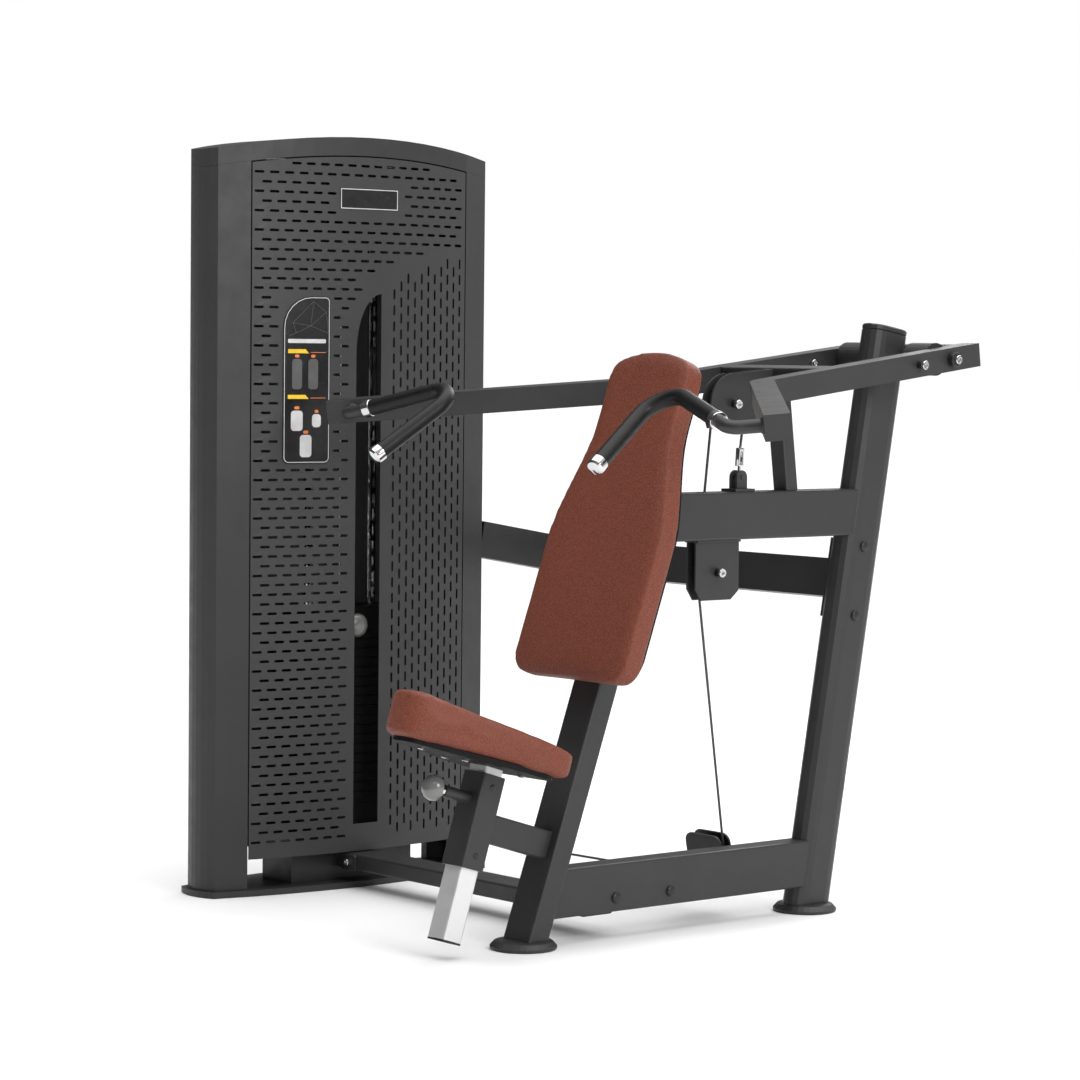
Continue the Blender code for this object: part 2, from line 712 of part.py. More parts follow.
def build_tower_base():
    """A flared floor plate with a raised bridge for the stack, open underneath."""
    top = POST_BOTTOM - GAP
    base = outline("tower_base", [lens(BASE_FLANGE)], 0.0, top)
    hollow = outline("hollow", [lens(-BASE_RIM)], -0.01, top - BASE_SHEET)
    cut(base, hollow)
    wide, long, high = BRIDGE_SIZE
    bridge = box("bridge", (wide, long, high - BASE_SHEET),
                 (TOWER_X, TOWER_Y, (high + BASE_SHEET) / 2))
    join(base, bridge)
    room = box("room", (wide - 2 * BASE_SHEET, long - 2 * BASE_SHEET, high),
               (TOWER_X, TOWER_Y, high / 2 - BASE_SHEET))
    cut(base, room)
    centre = tower_pulley_centre()
    for side in (-1, 1):
        y = LOW_CABLE_Y + side * (HOUSING_HALF + HOUSING_SHEET / 2)
        lug = box("lug", (0.030, HOUSING_SHEET, 0.098), (centre.x, y, top / 2 + 0.053))
        join(base, lug)
    join(base, cylinder("axle", AXLE_RADIUS, centre - Vector((0.0, 0.0165, 0.0)),
                        centre + Vector((0.0, 0.0165, 0.0)), 12))
    finish_part(base, FRAME_PAINT)


def build_guides():
    for name, side in (("guide_rod_front", -1), ("guide_rod_rear", 1)):
        y = TOWER_Y + side * ROD_SPACING / 2
        rod = cylinder(name, ROD_RADIUS, (TOWER_X, y, BRIDGE_SIZE[2] + GAP),
                       (TOWER_X, y, ROD_TOP), 20)
        finish_part(smooth(rod), CHROME)

    low = ROD_TOP + 2 * GAP
    bar = box("rod_top_bracket", BRACKET_SIZE, (TOWER_X, TOWER_Y, low + BRACKET_SIZE[2] / 2))
    front_y, rear_y = top_pulley_places()
    for side in (-1, 1):
        x = TOWER_X + side * (HOUSING_HALF + HOUSING_SHEET / 2)
        ear = box("ear", (HOUSING_SHEET, rear_y - front_y + 0.070, BRACKET_EAR_HEIGHT),
                  (x, (front_y + rear_y) / 2, low + BRACKET_EAR_HEIGHT / 2))
        join(bar, ear)
    for y in (front_y, rear_y):
        axle = cylinder("axle", AXLE_RADIUS, (TOWER_X - 0.020, y, TOP_PULLEY_Z),
                        (TOWER_X + 0.020, y, TOP_PULLEY_Z), 12)
        join(bar, axle)
    for y in (TOWER_Y, LOW_CABLE_Y):
        cut(bar, cylinder("cable_way", 0.008, (TOWER_X, y, 1.30), (TOWER_X, y, 1.35), 16))
    finish_part(bar, FRAME_PAINT)

    bumper_z = BRIDGE_SIZE[2] + GAP + BUMPER_SIZE[2] / 2
    bumper = box("stack_bumper", BUMPER_SIZE, (TOWER_X, TOWER_Y, bumper_z))
    for y, radius in ((TOWER_Y - ROD_SPACING / 2, ROD_HOLE), (TOWER_Y + ROD_SPACING / 2, ROD_HOLE),
                      (TOWER_Y, BUMPER_HOLE)):
        cut(bumper, cylinder("hole", radius, (TOWER_X, y, 0.0), (TOWER_X, y, 0.3), 20))
    finish_part(bumper, RUBBER)


# ---------------------------------------------------------------- stack
def plate(name, low, high):
    """A weight plate, or several plates joined, with its guide holes."""
    loop = rounded_rectangle(PLATE_DEPTH, PLATE_LENGTH, 0.008, 2)
    loops = [[(x + TOWER_X, y + TOWER_Y) for x, y in loop]]
    for offset, radius in ((-ROD_SPACING / 2, ROD_HOLE), (ROD_SPACING / 2, ROD_HOLE),
                           (0.0, SELECTOR_HOLE)):
        if offset == 0.0 and name == "head_plate":
            continue
        loops.append(arc_points((TOWER_X, TOWER_Y + offset), radius, 360, 18, 19))
    return outline(name, loops, low, high)


def build_stack():
    low = STACK_BOTTOM
    for letter in "cba":
        high = low + PLATES_PER_GROUP * PLATE_PITCH
        group = plate("weight_plates_" + letter, low, high - GAP)
        finish_part(group, CAST_PLATE)
        low = high
    lifted = plate("weight_plate_top", low, low + PLATE_PITCH - GAP)
    pin_z = low + PLATE_PITCH / 2
    bore = cylinder("pin_bore", PIN_RADIUS + GAP, (TOWER_X, TOWER_Y, pin_z),
                    (TOWER_X + 0.1, TOWER_Y, pin_z), 16)
    cut(lifted, bore)
    finish_part(lifted, CAST_PLATE)

    head_low = low + PLATE_PITCH
    head = plate("head_plate", head_low, head_low + HEAD_THICK)
    finish_part(head, CAST_PLATE)

    rod = cylinder("selector_rod", SELECTOR_RADIUS, (TOWER_X, TOWER_Y, STACK_BOTTOM + 0.004),
                   (TOWER_X, TOWER_Y, head_low - GAP), 20)
    finish_part(smooth(rod), CHROME)

    pin_start = TOWER_X + SELECTOR_RADIUS + 0.001
    knob_x = TOWER_X + PIN_KNOB_X
    pin = cylinder("selector_pin", PIN_RADIUS, (pin_start, TOWER_Y, pin_z),
                   (knob_x, TOWER_Y, pin_z), 16)
    profile = ((0.0, 0.011), (KNOB_RADIUS - 0.006, 0.011), (KNOB_RADIUS, 0.005),
               (KNOB_RADIUS, -0.003), (0.010, -0.011), (0.0, -0.011))
    knob = turned("knob", profile, 24)
    apply_matrix(knob, Matrix.Translation((knob_x, TOWER_Y, pin_z))
                 @ Matrix.Rotation(math.radians(90), 4, "Y"))
    join(pin, knob)
    finish_part(smooth(pin), KNOB_PLASTIC)


# ---------------------------------------------------------------- pulleys and cable
def top_pulley_places():
    reach = PULLEY_GROOVE + CABLE_RADIUS
    return TOWER_Y + reach, LOW_CABLE_Y - reach


def mid_pulley_centre():
    return Vector(MID_PULLEY)


def mid_pulley_tangent():
    centre = mid_pulley_centre()
    return Vector((0.0, centre.y - PULLEY_GROOVE - CABLE_RADIUS, centre.z))


def lever_point(x, y, z):
    """A place in the lever's tilted frame, in design coordinates."""
    turn = Matrix.Rotation(LEVER_TILT, 3, "X")
    return turn @ Vector((x, y, z)) + Vector((0.0, PIVOT_Y, PIVOT_Z))


def low_pulley_centre():
    reach = PULLEY_GROOVE + CABLE_RADIUS
    return Vector((RISER_X - reach, RISER_Y, LOW_CABLE_Z + reach))


def riser_normal():
    """The lower pulley's axis: square to the low cable and to the cable that rises from it."""
    rise = mid_pulley_tangent() - Vector((RISER_X, RISER_Y, low_pulley_centre().z))
    return Vector((1.0, 0.0, 0.0)).cross(rise).normalized()


def tower_pulley_centre():
    reach = PULLEY_GROOVE * LOW_PULLEY_SMALL + CABLE_RADIUS
    return Vector((TOWER_X + reach - 0.012, LOW_CABLE_Y, LOW_CABLE_Z + reach))


def pulley(name, centre, axis, scale=1.0):
    groove = PULLEY_GROOVE * scale - CORD_CLEARANCE
    rim = groove + CORD_CLEARANCE + PULLEY_RIM - PULLEY_GROOVE
    half = PULLEY_HALF
    bore = AXLE_RADIUS + GAP
    profile = ((bore, half), (rim, half), (rim, half - PULLEY_FLANK), (groove, GROOVE_HALF),
               (groove, -GROOVE_HALF), (rim, PULLEY_FLANK - half), (rim, -half), (bore, -half))
    obj = turned(name, profile, 22)
    turn = Vector(axis).to_track_quat("Z", "Y").to_matrix().to_4x4()
    world = Matrix.Translation(centre) @ turn
    finish_part(smooth(obj), NYLON, matrix=world)


def wrap(centre, radius, axis, start, end, count):
    """Points round a pulley, from the direction start to the direction end."""
    centre = Vector(centre)
    first = Vector(start).normalized()
    last = Vector(end).normalized()
    angle = first.angle(last)
    if first.cross(last).dot(Vector(axis)) < 0.0:
        angle = -angle
    points = []
    for index in range(count + 1):
        turn = Matrix.Rotation(angle * index / count, 3, Vector(axis))
        points.append(centre + turn @ (first * radius))
    return points


def lever_cable_route():
    """From the mid pulley up through the beam, over the lever's pulley and down to the clevis."""
    reach = PULLEY_GROOVE + 0.0015 + CABLE_RADIUS
    centre = lever_point(0.0, *LEVER_PULLEY)
    start = mid_pulley_tangent()
    end = Vector(TURNBUCKLE_TOP)
    rise = tangent_direction(start, centre, reach, -1)
    fall = tangent_direction(end, centre, reach, 1)
    over = wrap(centre, reach, (1.0, 0.0, 0.0), rise, (0.0, 0.0, 1.0), 5)
    down = wrap(centre, reach, (1.0, 0.0, 0.0), (0.0, 0.0, 1.0), fall, 5)
    return [start] + over + down[1:] + [end]


def tangent_direction(point, centre, radius, side):
    """From a pulley's centre to where a straight cable from a point meets it, front -1, rear 1."""
    offset = Vector(point) - Vector(centre)
    turn = Matrix.Rotation(side * math.acos(radius / offset.length), 3, "X")
    return (turn @ offset).normalized()


def build_cables():
    front_y, rear_y = top_pulley_places()
    reach = PULLEY_GROOVE + CABLE_RADIUS
    head_top = STACK_BOTTOM + (3 * PLATES_PER_GROUP + 1) * PLATE_PITCH + HEAD_THICK
    start = Vector((TOWER_X, TOWER_Y, head_top + GAP))
    top = Vector((TOWER_X, TOWER_Y, TOP_PULLEY_Z))
    stack_cable = round_bar("stack_cable", [start, top], CABLE_RADIUS, 2)
    finish_part(smooth(stack_cable, 60), CABLE_COAT)

    across = (1.0, 0.0, 0.0)
    route = wrap((TOWER_X, front_y, TOP_PULLEY_Z), reach, across, (0, -1, 0), (0, 0, 1), 5)
    route += wrap((TOWER_X, rear_y, TOP_PULLEY_Z), reach, across, (0, 0, 1), (0, 1, 0), 5)
    tower_centre = tower_pulley_centre()
    small = PULLEY_GROOVE * LOW_PULLEY_SMALL + CABLE_RADIUS
    route += wrap(tower_centre, small, (0.0, 1.0, 0.0), (-1, 0, 0), (0, 0, -1), 5)
    low_centre = low_pulley_centre()
    axis = riser_normal()
    down = Vector((1.0, 0.0, 0.0)).cross(axis).normalized()
    down = down if down.z < 0.0 else -down
    route += wrap(low_centre, reach, axis, down, (1.0, 0.0, 0.0), 6)
    route.append(mid_pulley_tangent() - Vector((0.0, 0.0, 5 * GAP)))
    route[0] = route[0] + Vector((0.0, 0.0, 2 * GAP))
    tower_cable = round_bar("tower_cable", route, CABLE_RADIUS, 2)
    finish_part(smooth(tower_cable, 60), CABLE_COAT)

    lever_cable = round_bar("lever_cable", lever_cable_route(), CABLE_RADIUS, 2)
    finish_part(smooth(lever_cable, 60), CABLE_COAT)


def build_mid_housing():
    """Hangs under the upper beam."""
    centre = mid_pulley_centre()
    under = UPPER_BEAM_Z - BEAM_HEIGHT / 2 - GAP
    top = under - centre.z
    half = MID_HOUSING_HALF
    drop = MID_HOUSING_DROP
    loop = [(-half, top), (-half, -0.030), (-0.040, -drop), (0.035, -drop), (half, -0.035),
            (half, top)]
    body = None
    for side in (-1, 1):
        low = side * HOUSING_HALF + min(side, 0) * HOUSING_SHEET
        sheet = outline("mid_pulley_housing", [loop], low, low + HOUSING_SHEET)
        body = sheet if body is None else body
        if body is not sheet:
            web = box("web", (2 * half, HOUSING_SHEET, 2 * (HOUSING_HALF + HOUSING_SHEET) + 0.010),
                      (0.0, top - HOUSING_SHEET / 2, 0.0))
            join(body, web, sheet)
    join(body, cylinder("axle", AXLE_RADIUS, (0.0, 0.0, -AXLE_HALF), (0.0, 0.0, AXLE_HALF), 12))
    slot = box("slot", (0.018, 0.020, 0.014), (-0.038, top, 0.0))
    cut(body, slot)
    apply_matrix(body, raised_along_x(*centre))
    body.name = "mid_pulley_housing"
    finish_part(body, FRAME_PAINT)


def build_low_bracket():
    """Two upright plates on the far side of the base beam, joined by a foot plate."""
    centre = low_pulley_centre()
    axis = riser_normal()
    rise = Vector((1.0, 0.0, 0.0)).cross(axis).normalized()
    rise = rise if rise.z > 0.0 else -rise
    frame = Matrix.Identity(4)
    frame.col[0][:3] = (1.0, 0.0, 0.0)
    frame.col[1][:3] = rise
    frame.col[2][:3] = Vector((1.0, 0.0, 0.0)).cross(rise)
    right = -BEAM_WIDTH / 2 - GAP - centre.x
    left = -0.050
    body = None
    for side in (-1, 1):
        corner = LOW_BRACKET_CORNER
        high = LOW_BRACKET_RISE - corner
        loop = ([(left, -LOW_BRACKET_DROP), (right, -LOW_BRACKET_DROP)]
                + arc_points((right - corner, high), corner, 0, 90, 5)
                + arc_points((left + corner, high), corner, 90, 180, 5))
        low = side * HOUSING_HALF + min(side, 0) * HOUSING_SHEET
        sheet = outline("low_pulley_bracket", [loop], low, low + HOUSING_SHEET)
        body = sheet if body is None else body
        if body is not sheet:
            thick = 2 * (HOUSING_HALF + HOUSING_SHEET)
            web = box("web", (right - left, HOUSING_SHEET, thick),
                      ((right + left) / 2, -LOW_BRACKET_DROP - HOUSING_SHEET / 2, 0.0))
            join(body, web, sheet)
    join(body, cylinder("axle", AXLE_RADIUS, (0.0, 0.0, -0.018), (0.0, 0.0, 0.018), 12))
    apply_matrix(body, Matrix.Translation(centre) @ frame)
    body.name = "low_pulley_bracket"
    finish_part(body, FRAME_PAINT)


def build_pulleys():
    front_y, rear_y = top_pulley_places()
    pulley("top_pulley_front", (TOWER_X, front_y, TOP_PULLEY_Z), (1, 0, 0))
    pulley("top_pulley_rear", (TOWER_X, rear_y, TOP_PULLEY_Z), (1, 0, 0))
    pulley("tower_foot_pulley", tower_pulley_centre(), (0, 1, 0), LOW_PULLEY_SMALL)
    pulley("low_pulley", low_pulley_centre(), riser_normal())
    pulley("mid_pulley", mid_pulley_centre(), (1, 0, 0))
    build_mid_housing()
    build_low_bracket()


def build_anchor():
    """The clevis on the upper beam, and the turnbuckle that ends the cable."""
    under = UPPER_BEAM_Z + BEAM_HEIGHT / 2 + GAP
    clevis = box("cable_clevis", CLEVIS_BASE, (0.0, CLEVIS_Y, under + CLEVIS_BASE[2] / 2))
    base_top = under + CLEVIS_BASE[2]
    ear = arc_points((0.0, CLEVIS_PIN_Z), CLEVIS_EAR, 0, 180, 8)
    ear = [(CLEVIS_EAR, -0.001)] + ear + [(-CLEVIS_EAR, -0.001)]
    for side in (-1, 1):
        sheet = outline("ear", [ear], -0.0025, 0.0025)
        apply_matrix(sheet, raised_along_x(side * CLEVIS_EAR_X, CLEVIS_Y, base_top))
        join(clevis, sheet)
    pin_z = base_top + CLEVIS_PIN_Z
    join(clevis, cylinder("pin", 0.004, (-0.013, CLEVIS_Y, pin_z), (0.013, CLEVIS_Y, pin_z), 12))
    finish_part(clevis, FRAME_PAINT)

    low = Vector(TURNBUCKLE_LOW)
    high = Vector(TURNBUCKLE_TOP) - Vector((0.0, 0.0, GAP))
    middle = low.lerp(high, 0.38)
    body = cylinder("turnbuckle", 0.0035, low, high, 12)
    join(body, cylinder("barrel", 0.0055, middle, low.lerp(high, 0.92), 12))
    finish_part(smooth(body), CHROME)


# ---------------------------------------------------------------- seat
def seat_frame():
    """Origin on the seat's axis at the pad's underside, Z up along the axis, Y rearward."""
    return (Matrix.Translation((0.0, SEAT_AXIS_Y, SEAT_AXIS_Z))
            @ Matrix.Rotation(-SEAT_LEAN, 4, "X"))


def seat_outline(inset=0.0):
    """Plan of the seat: narrow rounded nose at -Y, wide at the back, in the seat's frame."""
    rear = SEAT_REAR - inset
    wide = SEAT_WIDE_HALF - inset
    narrow = SEAT_NOSE_HALF - inset
    nose = SEAT_NOSE + inset
    corner = SEAT_REAR_RADIUS
    points = arc_points((wide - corner, rear - corner), corner, 0, 90, 4)
    points += [(-x, y) for x, y in points[::-1]]
    flank = (wide - 0.004, rear - SEAT_FLANK_START)
    points += [(-flank[0], flank[1])]
    radius = narrow - 0.012
    left = arc_points((-narrow + radius, nose + radius), radius, 192, 270, 5)
    return points + left + [(-x, y) for x, y in left[::-1]] + [flank]


def build_seat():
    frame = seat_frame()
    housing_bottom = HOUSING_TOP - HOUSING_LENGTH
    sleeve = outline("seat_housing", [rounded_rectangle(HOUSING_WIDTH, HOUSING_DEPTH, 0.004, 2),
                                      rounded_rectangle(SEAT_POST_WIDTH + 0.001,
                                                        SEAT_POST_DEPTH + 0.001)[::-1]],
                     housing_bottom, HOUSING_TOP)
    barrel_z = HOUSING_TOP - BARREL_DROP
    barrel = cylinder("barrel", BARREL_RADIUS, (0.0, -HOUSING_DEPTH / 2 + 0.002, barrel_z),
                      (0.0, -HOUSING_DEPTH / 2 - BARREL_LENGTH, barrel_z), 20)
    join(sleeve, barrel)
    bore = cylinder("bore", POP_PIN_RADIUS + 2 * GAP, (0.0, 0.0, barrel_z),
                    (0.0, -0.2, barrel_z), 16)
    cut(sleeve, bore)
    finish_part(smooth(apply_matrix(sleeve, frame)), FRAME_PAINT)

    pin = cylinder("pop_pin", POP_PIN_RADIUS, (0.0, -SEAT_POST_DEPTH / 2 - 0.001, barrel_z),
                   (0.0, -HOUSING_DEPTH / 2 - 0.075, barrel_z), 16)
    profile = ((0.0, 0.020), (0.013, 0.018), (0.021, 0.010), (0.0235, 0.0), (0.020, -0.009),
               (0.012, -0.015), (0.007, -0.021), (0.0, -0.021))
    knob = turned("knob", profile, 24)
    place = Matrix.Translation((0.0, -HOUSING_DEPTH / 2 - 0.081, barrel_z))
    apply_matrix(knob, place @ Matrix.Rotation(math.radians(90), 4, "X"))
    join(pin, knob)
    finish_part(smooth(apply_matrix(pin, frame)), KNOB_PLASTIC)

    post = hollow_bar("seat_post", SEAT_POST_WIDTH, SEAT_POST_DEPTH, SEAT_POST_LOW,
                      -SEAT_BOARD_THICK - GAP)
    finish_part(apply_matrix(post, frame), CHROME)

    board = outline("seat_board", [seat_outline(SEAT_BOARD_INSET)], -SEAT_BOARD_THICK, -GAP)
    finish_part(apply_matrix(board, frame), CAST_PLATE)

    pad = outline("seat_pad", [seat_outline(0.0)], 0.0, 0.100)
    top = box("top", (1.0, 1.0, 0.4), (0.0, 0.0, 0.2))
    slope = (Matrix.Translation((0.0, -0.220, SEAT_PAD_TOP))
             @ Matrix.Rotation(-SEAT_PAD_SLOPE, 4, "X"))
    cut(pad, apply_matrix(top, slope))
    finish_part(soften(apply_matrix(pad, frame), 0.006, 1), LEATHER)

    reach_start = Vector((0.0, HOUSING_DEPTH / 2 + GAP, SEAT_ARM_DROP))
    arm = horizontal(hollow_bar("seat_arm", *SEAT_ARM_SIZE, 0.0, 0.30), "Y")
    apply_matrix(arm, frame @ Matrix.Translation(reach_start))
    cut(arm, upright_clearance(), behind_upright())
    finish_part(arm, FRAME_PAINT)


def behind_upright():
    solid = box("behind", (0.5, 0.5, FAR), (0.0, 0.25 - UPRIGHT_DEPTH / 2, 0.0))
    return apply_matrix(solid, lean_matrix(upright_axis_y(0.0), UPRIGHT_LEAN))


# ---------------------------------------------------------------- back rest
def back_frame():
    """Origin at the pad's lower edge on its front face, Z up along the pad, Y rearward."""
    y = 0.102 + math.tan(BACK_LEAN) * (BACK_BOTTOM - 0.534)
    return Matrix.Translation((0.0, y, BACK_BOTTOM)) @ Matrix.Rotation(-BACK_LEAN, 4, "X")


def back_half_width(height):
    """Wide below, narrow above, with a smooth waist between."""
    share = min(max((height - WAIST_LOW) / (WAIST_HIGH - WAIST_LOW), 0.0), 1.0)
    share = share * share * (3 - 2 * share)
    return BACK_WIDE_HALF + (BACK_NARROW_HALF - BACK_WIDE_HALF) * share


def back_outline(inset=0.0):
    corner = 0.040
    top = BACK_LENGTH - BACK_CROWN - inset
    bottom = inset
    right = arc_points((back_half_width(0) - inset - corner, bottom + corner), corner, -90, 0, 4)
    for index in range(13):
        height = WAIST_LOW + (WAIST_HIGH - WAIST_LOW) * index / 12
        right.append((back_half_width(height) - inset, height))
    half = back_half_width(top) - inset - corner
    right += arc_points((half, top - corner), corner, 0, 78, 4)
    reach = right[-1][0]
    low = right[-1][1]
    for index in range(1, 5):
        x = reach * (1 - index / 5)
        right.append((x, low + (top + BACK_CROWN - low) * (1 - (x / reach) ** 2)))
    return right + [(0.0, top + BACK_CROWN)] + [(-x, z) for x, z in right[::-1]]


def build_back():
    turn = Matrix.Rotation(math.radians(90), 4, "X")
    pad = outline("back_pad", [back_outline()], -BACK_THICK, 0.0)
    finish_part(soften(apply_matrix(pad, back_frame() @ turn), 0.006, 1), LEATHER)
    board = outline("back_board", [back_outline(0.018)], -BACK_THICK - BACK_BOARD_THICK - GAP,
                    -BACK_THICK - GAP)
    apply_matrix(board, back_frame() @ turn)
    cut(board, upright_clearance())
    finish_part(board, CAST_PLATE)


# ---------------------------------------------------------------- lever
def lever_frame():
    return Matrix.Translation((0.0, PIVOT_Y, PIVOT_Z)) @ Matrix.Rotation(LEVER_TILT, 4, "X")


def arm_path(start_extra=0.0, end_cut=0.0):
    rear = Vector((*ARM_REAR, 0.0))
    bend = Vector((*ARM_BEND, 0.0))
    end = Vector((*ARM_END, 0.0))
    rear = rear + (rear - bend).normalized() * start_extra
    end = end - (end - bend).normalized() * end_cut
    return fillet_path([rear, bend, end], [0.045], 4)


def build_arms():
    half = ARM_TUBE / 2
    for name, side in (("left_arm", 1), ("right_arm", -1)):
        mirror = Matrix.Scale(side, 4, (1, 0, 0))

        def placed(path):
            return [mirror @ place for place in path]

        arm = outline(name, [strip(placed(arm_path()), half)], -half, half)
        hollow = outline("hollow", [strip(placed(arm_path(0.05, WALL)), half - WALL)],
                         WALL - half, half - WALL)
        cut(arm, hollow)
        inner, outer = (side * reach for reach in HUB_REACH)
        join(arm, cylinder("hub", HUB_RADIUS, (inner, 0.0, 0.0), (outer, 0.0, 0.0), 28))
        cut(arm, cylinder("bore", SHAFT_RADIUS + GAP, (-0.3, 0.0, 0.0), (0.3, 0.0, 0.0), 20))
        finish_part(smooth(arm), FRAME_PAINT, matrix=lever_frame())

    shaft = cylinder("pivot_shaft", SHAFT_RADIUS, (-SHAFT_HALF, 0.0, 0.0),
                     (SHAFT_HALF, 0.0, 0.0), 24)
    apply_matrix(shaft, Matrix.Translation((0.0, PIVOT_Y, PIVOT_Z)))
    finish_part(smooth(shaft), CHROME)


def arm_inner_x(y):
    """The inner face of the arm's rear run at a place along it."""
    share = (ARM_REAR[1] - y) / (ARM_REAR[1] - ARM_BEND[1])
    return ARM_REAR[0] + (ARM_BEND[0] - ARM_REAR[0]) * share - ARM_TUBE / 2


def cross_piece(name, y, depth, height):
    """A tube from arm to arm, its ends cut to the arms' slant, in the lever's frame."""
    length = 2 * arm_inner_x(y) - 0.0022
    bar = horizontal(hollow_bar(name, height, depth, -length / 2, length / 2), "X")
    apply_matrix(bar, Matrix.Translation((0.0, y, 0.0)))
    finish_part(bar, FRAME_PAINT, matrix=lever_frame())


def build_lever():
    build_arms()
    cross_piece("lever_crossmember", CROSSMEMBER_Y, ARM_TUBE, ARM_TUBE)
    cross_piece("lever_rear_tie", 0.066, 0.022, 0.042)

    y, z = LEVER_PULLEY
    front = CROSSMEMBER_Y - ARM_TUBE / 2 - GAP
    body = None
    for side in (-1, 1):
        loop = [(front, 0.020)] + arc_points((y, z), LEVER_HOUSING_RADIUS, 75, 190, 10)
        loop += [(y - 0.050, z - 0.040), (y + 0.050, z - 0.040), (front, -0.020)]
        low = side * HOUSING_HALF + min(side, 0) * HOUSING_SHEET
        sheet = outline("lever_pulley_housing", [loop], low, low + HOUSING_SHEET)
        body = sheet if body is None else body
        if body is not sheet:
            web = box("web", (0.006, 0.040, 2 * (HOUSING_HALF + HOUSING_SHEET)),
                      (front - 0.003, 0.0, 0.0))
            join(body, web, sheet)
    join(body, cylinder("axle", AXLE_RADIUS, (y, z, -AXLE_HALF), (y, z, AXLE_HALF), 12))
    apply_matrix(body, raised_along_x())
    body.name = "lever_pulley_housing"
    finish_part(body, FRAME_PAINT, matrix=lever_frame())
    pulley("lever_pulley", lever_point(0.0, y, z), (1, 0, 0), LEVER_PULLEY_SCALE)
    build_handles()
    build_stop()


def handle_points():
    """The left handle's middle line in the lever's frame: stub, grip's corner and tip."""
    bend = Vector((*ARM_BEND, 0.0))
    end = Vector((*ARM_END, 0.0))
    along = (end - bend).normalized()
    inward = Vector((along.y, -along.x, 0.0))
    root = end - along * 0.050 + inward * (ARM_TUBE / 2 + GAP)
    return [root, root + inward * 0.0565, Vector((0.269, -0.8356, 0.0553)),
            Vector((0.313, -1.056, -0.062))]


def build_handles():
    points = handle_points()
    path = fillet_path(points, [0.030, 0.050], 4)
    ring = points[1].lerp(points[2], 0.205)
    grip_end = points[3] + (points[2] - points[3]).normalized() * GRIP_CAP_LENGTH
    grip_path = fillet_path([ring, points[2], grip_end], [0.050], 4)
    for side_name, side in (("left", 1), ("right", -1)):
        mirror = Matrix.Scale(side, 4, (1, 0, 0))
        core = round_bar(side_name + "_handle", [mirror @ place for place in path],
                         HANDLE_RADIUS, 2)
        tip = mirror @ points[3]
        inner = mirror @ grip_end
        step = (tip - inner).normalized() * GAP
        join(core, cylinder("end", GRIP_CAP_RADIUS, inner + step, tip, 24))
        join(core, cylinder("collar", GRIP_CAP_RADIUS - 0.0005,
                            mirror @ (ring + (points[1] - points[2]).normalized() * 0.014),
                            mirror @ (ring + (points[1] - points[2]).normalized() * GAP), 24))
        finish_part(smooth(core), CHROME, matrix=lever_frame())

        grip = round_bar(side_name + "_grip", [mirror @ place for place in grip_path],
                         GRIP_RADIUS, 3)
        start = grip_path[0] + (grip_path[0] - grip_path[1]).normalized() * 0.02
        stop = grip_path[-1] + (grip_path[-1] - grip_path[-2]).normalized() * 0.02
        hollow_path = [start] + grip_path[1:-1] + [stop]
        core_room = round_bar("core_room", [mirror @ place for place in hollow_path],
                              HANDLE_RADIUS + 0.0009, 3)
        cut(grip, core_room)
        finish_part(smooth(grip), RUBBER, matrix=lever_frame())


def build_stop():
    """The post that the lever rests on, square to the lever, and its rubber pad."""
    frame = lever_frame()
    under = -ARM_TUBE / 2 - GAP
    thick = STOP_PAD_SIZE[2]
    pad = box("stop_pad", STOP_PAD_SIZE, (0.0, CROSSMEMBER_Y, under - thick / 2))
    apply_matrix(pad, frame)
    finish_part(pad, RUBBER)
    post = hollow_bar("stop_post", *STOP_POST_SIZE, -0.5, under - thick - GAP)
    apply_matrix(post, Matrix.Translation((0.0, CROSSMEMBER_Y, 0.0)))
    apply_matrix(post, frame)
    cut(post, box("beam_top", (0.4, 0.4, 1.0), (0.0, 0.62, UPPER_BEAM_Z + BEAM_HEIGHT / 2
                                               + GAP - 0.5)))
    finish_part(post, FRAME_PAINT)


# ---------------------------------------------------------------- plates on the shroud
def build_placard():
    """The blank instruction placard, bent to the shroud's curve, with one swept corner."""
    front_end, rear_end = PLACARD_SPAN
    low, high = PLACARD_HEIGHT
    face = bow(SHROUD_HALF_SPAN, SHROUD_BULGE, 80)
    outer = [(SHROUD_EDGE + out + GAP + PLACARD_SHEET, along) for along, out in face]
    inner = [(SHROUD_EDGE + out + GAP, along) for along, out in face]
    loop = [(x + TOWER_X, y + TOWER_Y) for x, y in outer + inner[::-1]]
    sheet = outline("instruction_placard", [loop], low - 0.05, high + 0.05)
    corner, sweep = PLACARD_CORNER, PLACARD_SWEEP
    shape = arc_points((rear_end - corner, low + corner), corner, -90, 0, 3)
    shape += arc_points((rear_end - corner, high - corner), corner, 0, 90, 3)
    shape += arc_points((front_end + sweep, high - sweep), sweep, 90, 180, 8)
    shape += arc_points((front_end + corner, low + corner), corner, 180, 270, 3)
    solid = outline("placard_shape", [[(y + TOWER_Y, z) for y, z in shape]], 0.0, 0.2)
    combine(sheet, apply_matrix(solid, raised_along_x(TOWER_X)), "INTERSECT")
    finish_part(smooth(sheet), PRINT_PLATE)


build_base()
build_cross_tube()
build_posts()
build_cap()
build_shrouds()
build_tower_base()
build_guides()
build_stack()
build_pulleys()
build_cables()
build_anchor()
build_seat()
build_back()
build_lever()
build_placard()
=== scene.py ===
"""Looks for the shoulder press machine: materials, upholstery, shroud, fasteners and light.

Design coordinates have x = 0 on the seat's middle plane and y = 0 at the front foot; place() moves
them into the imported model's frame. Sizes are in metres.
"""

import json
import math

import bmesh
import bpy
from mathutils import Matrix, Vector


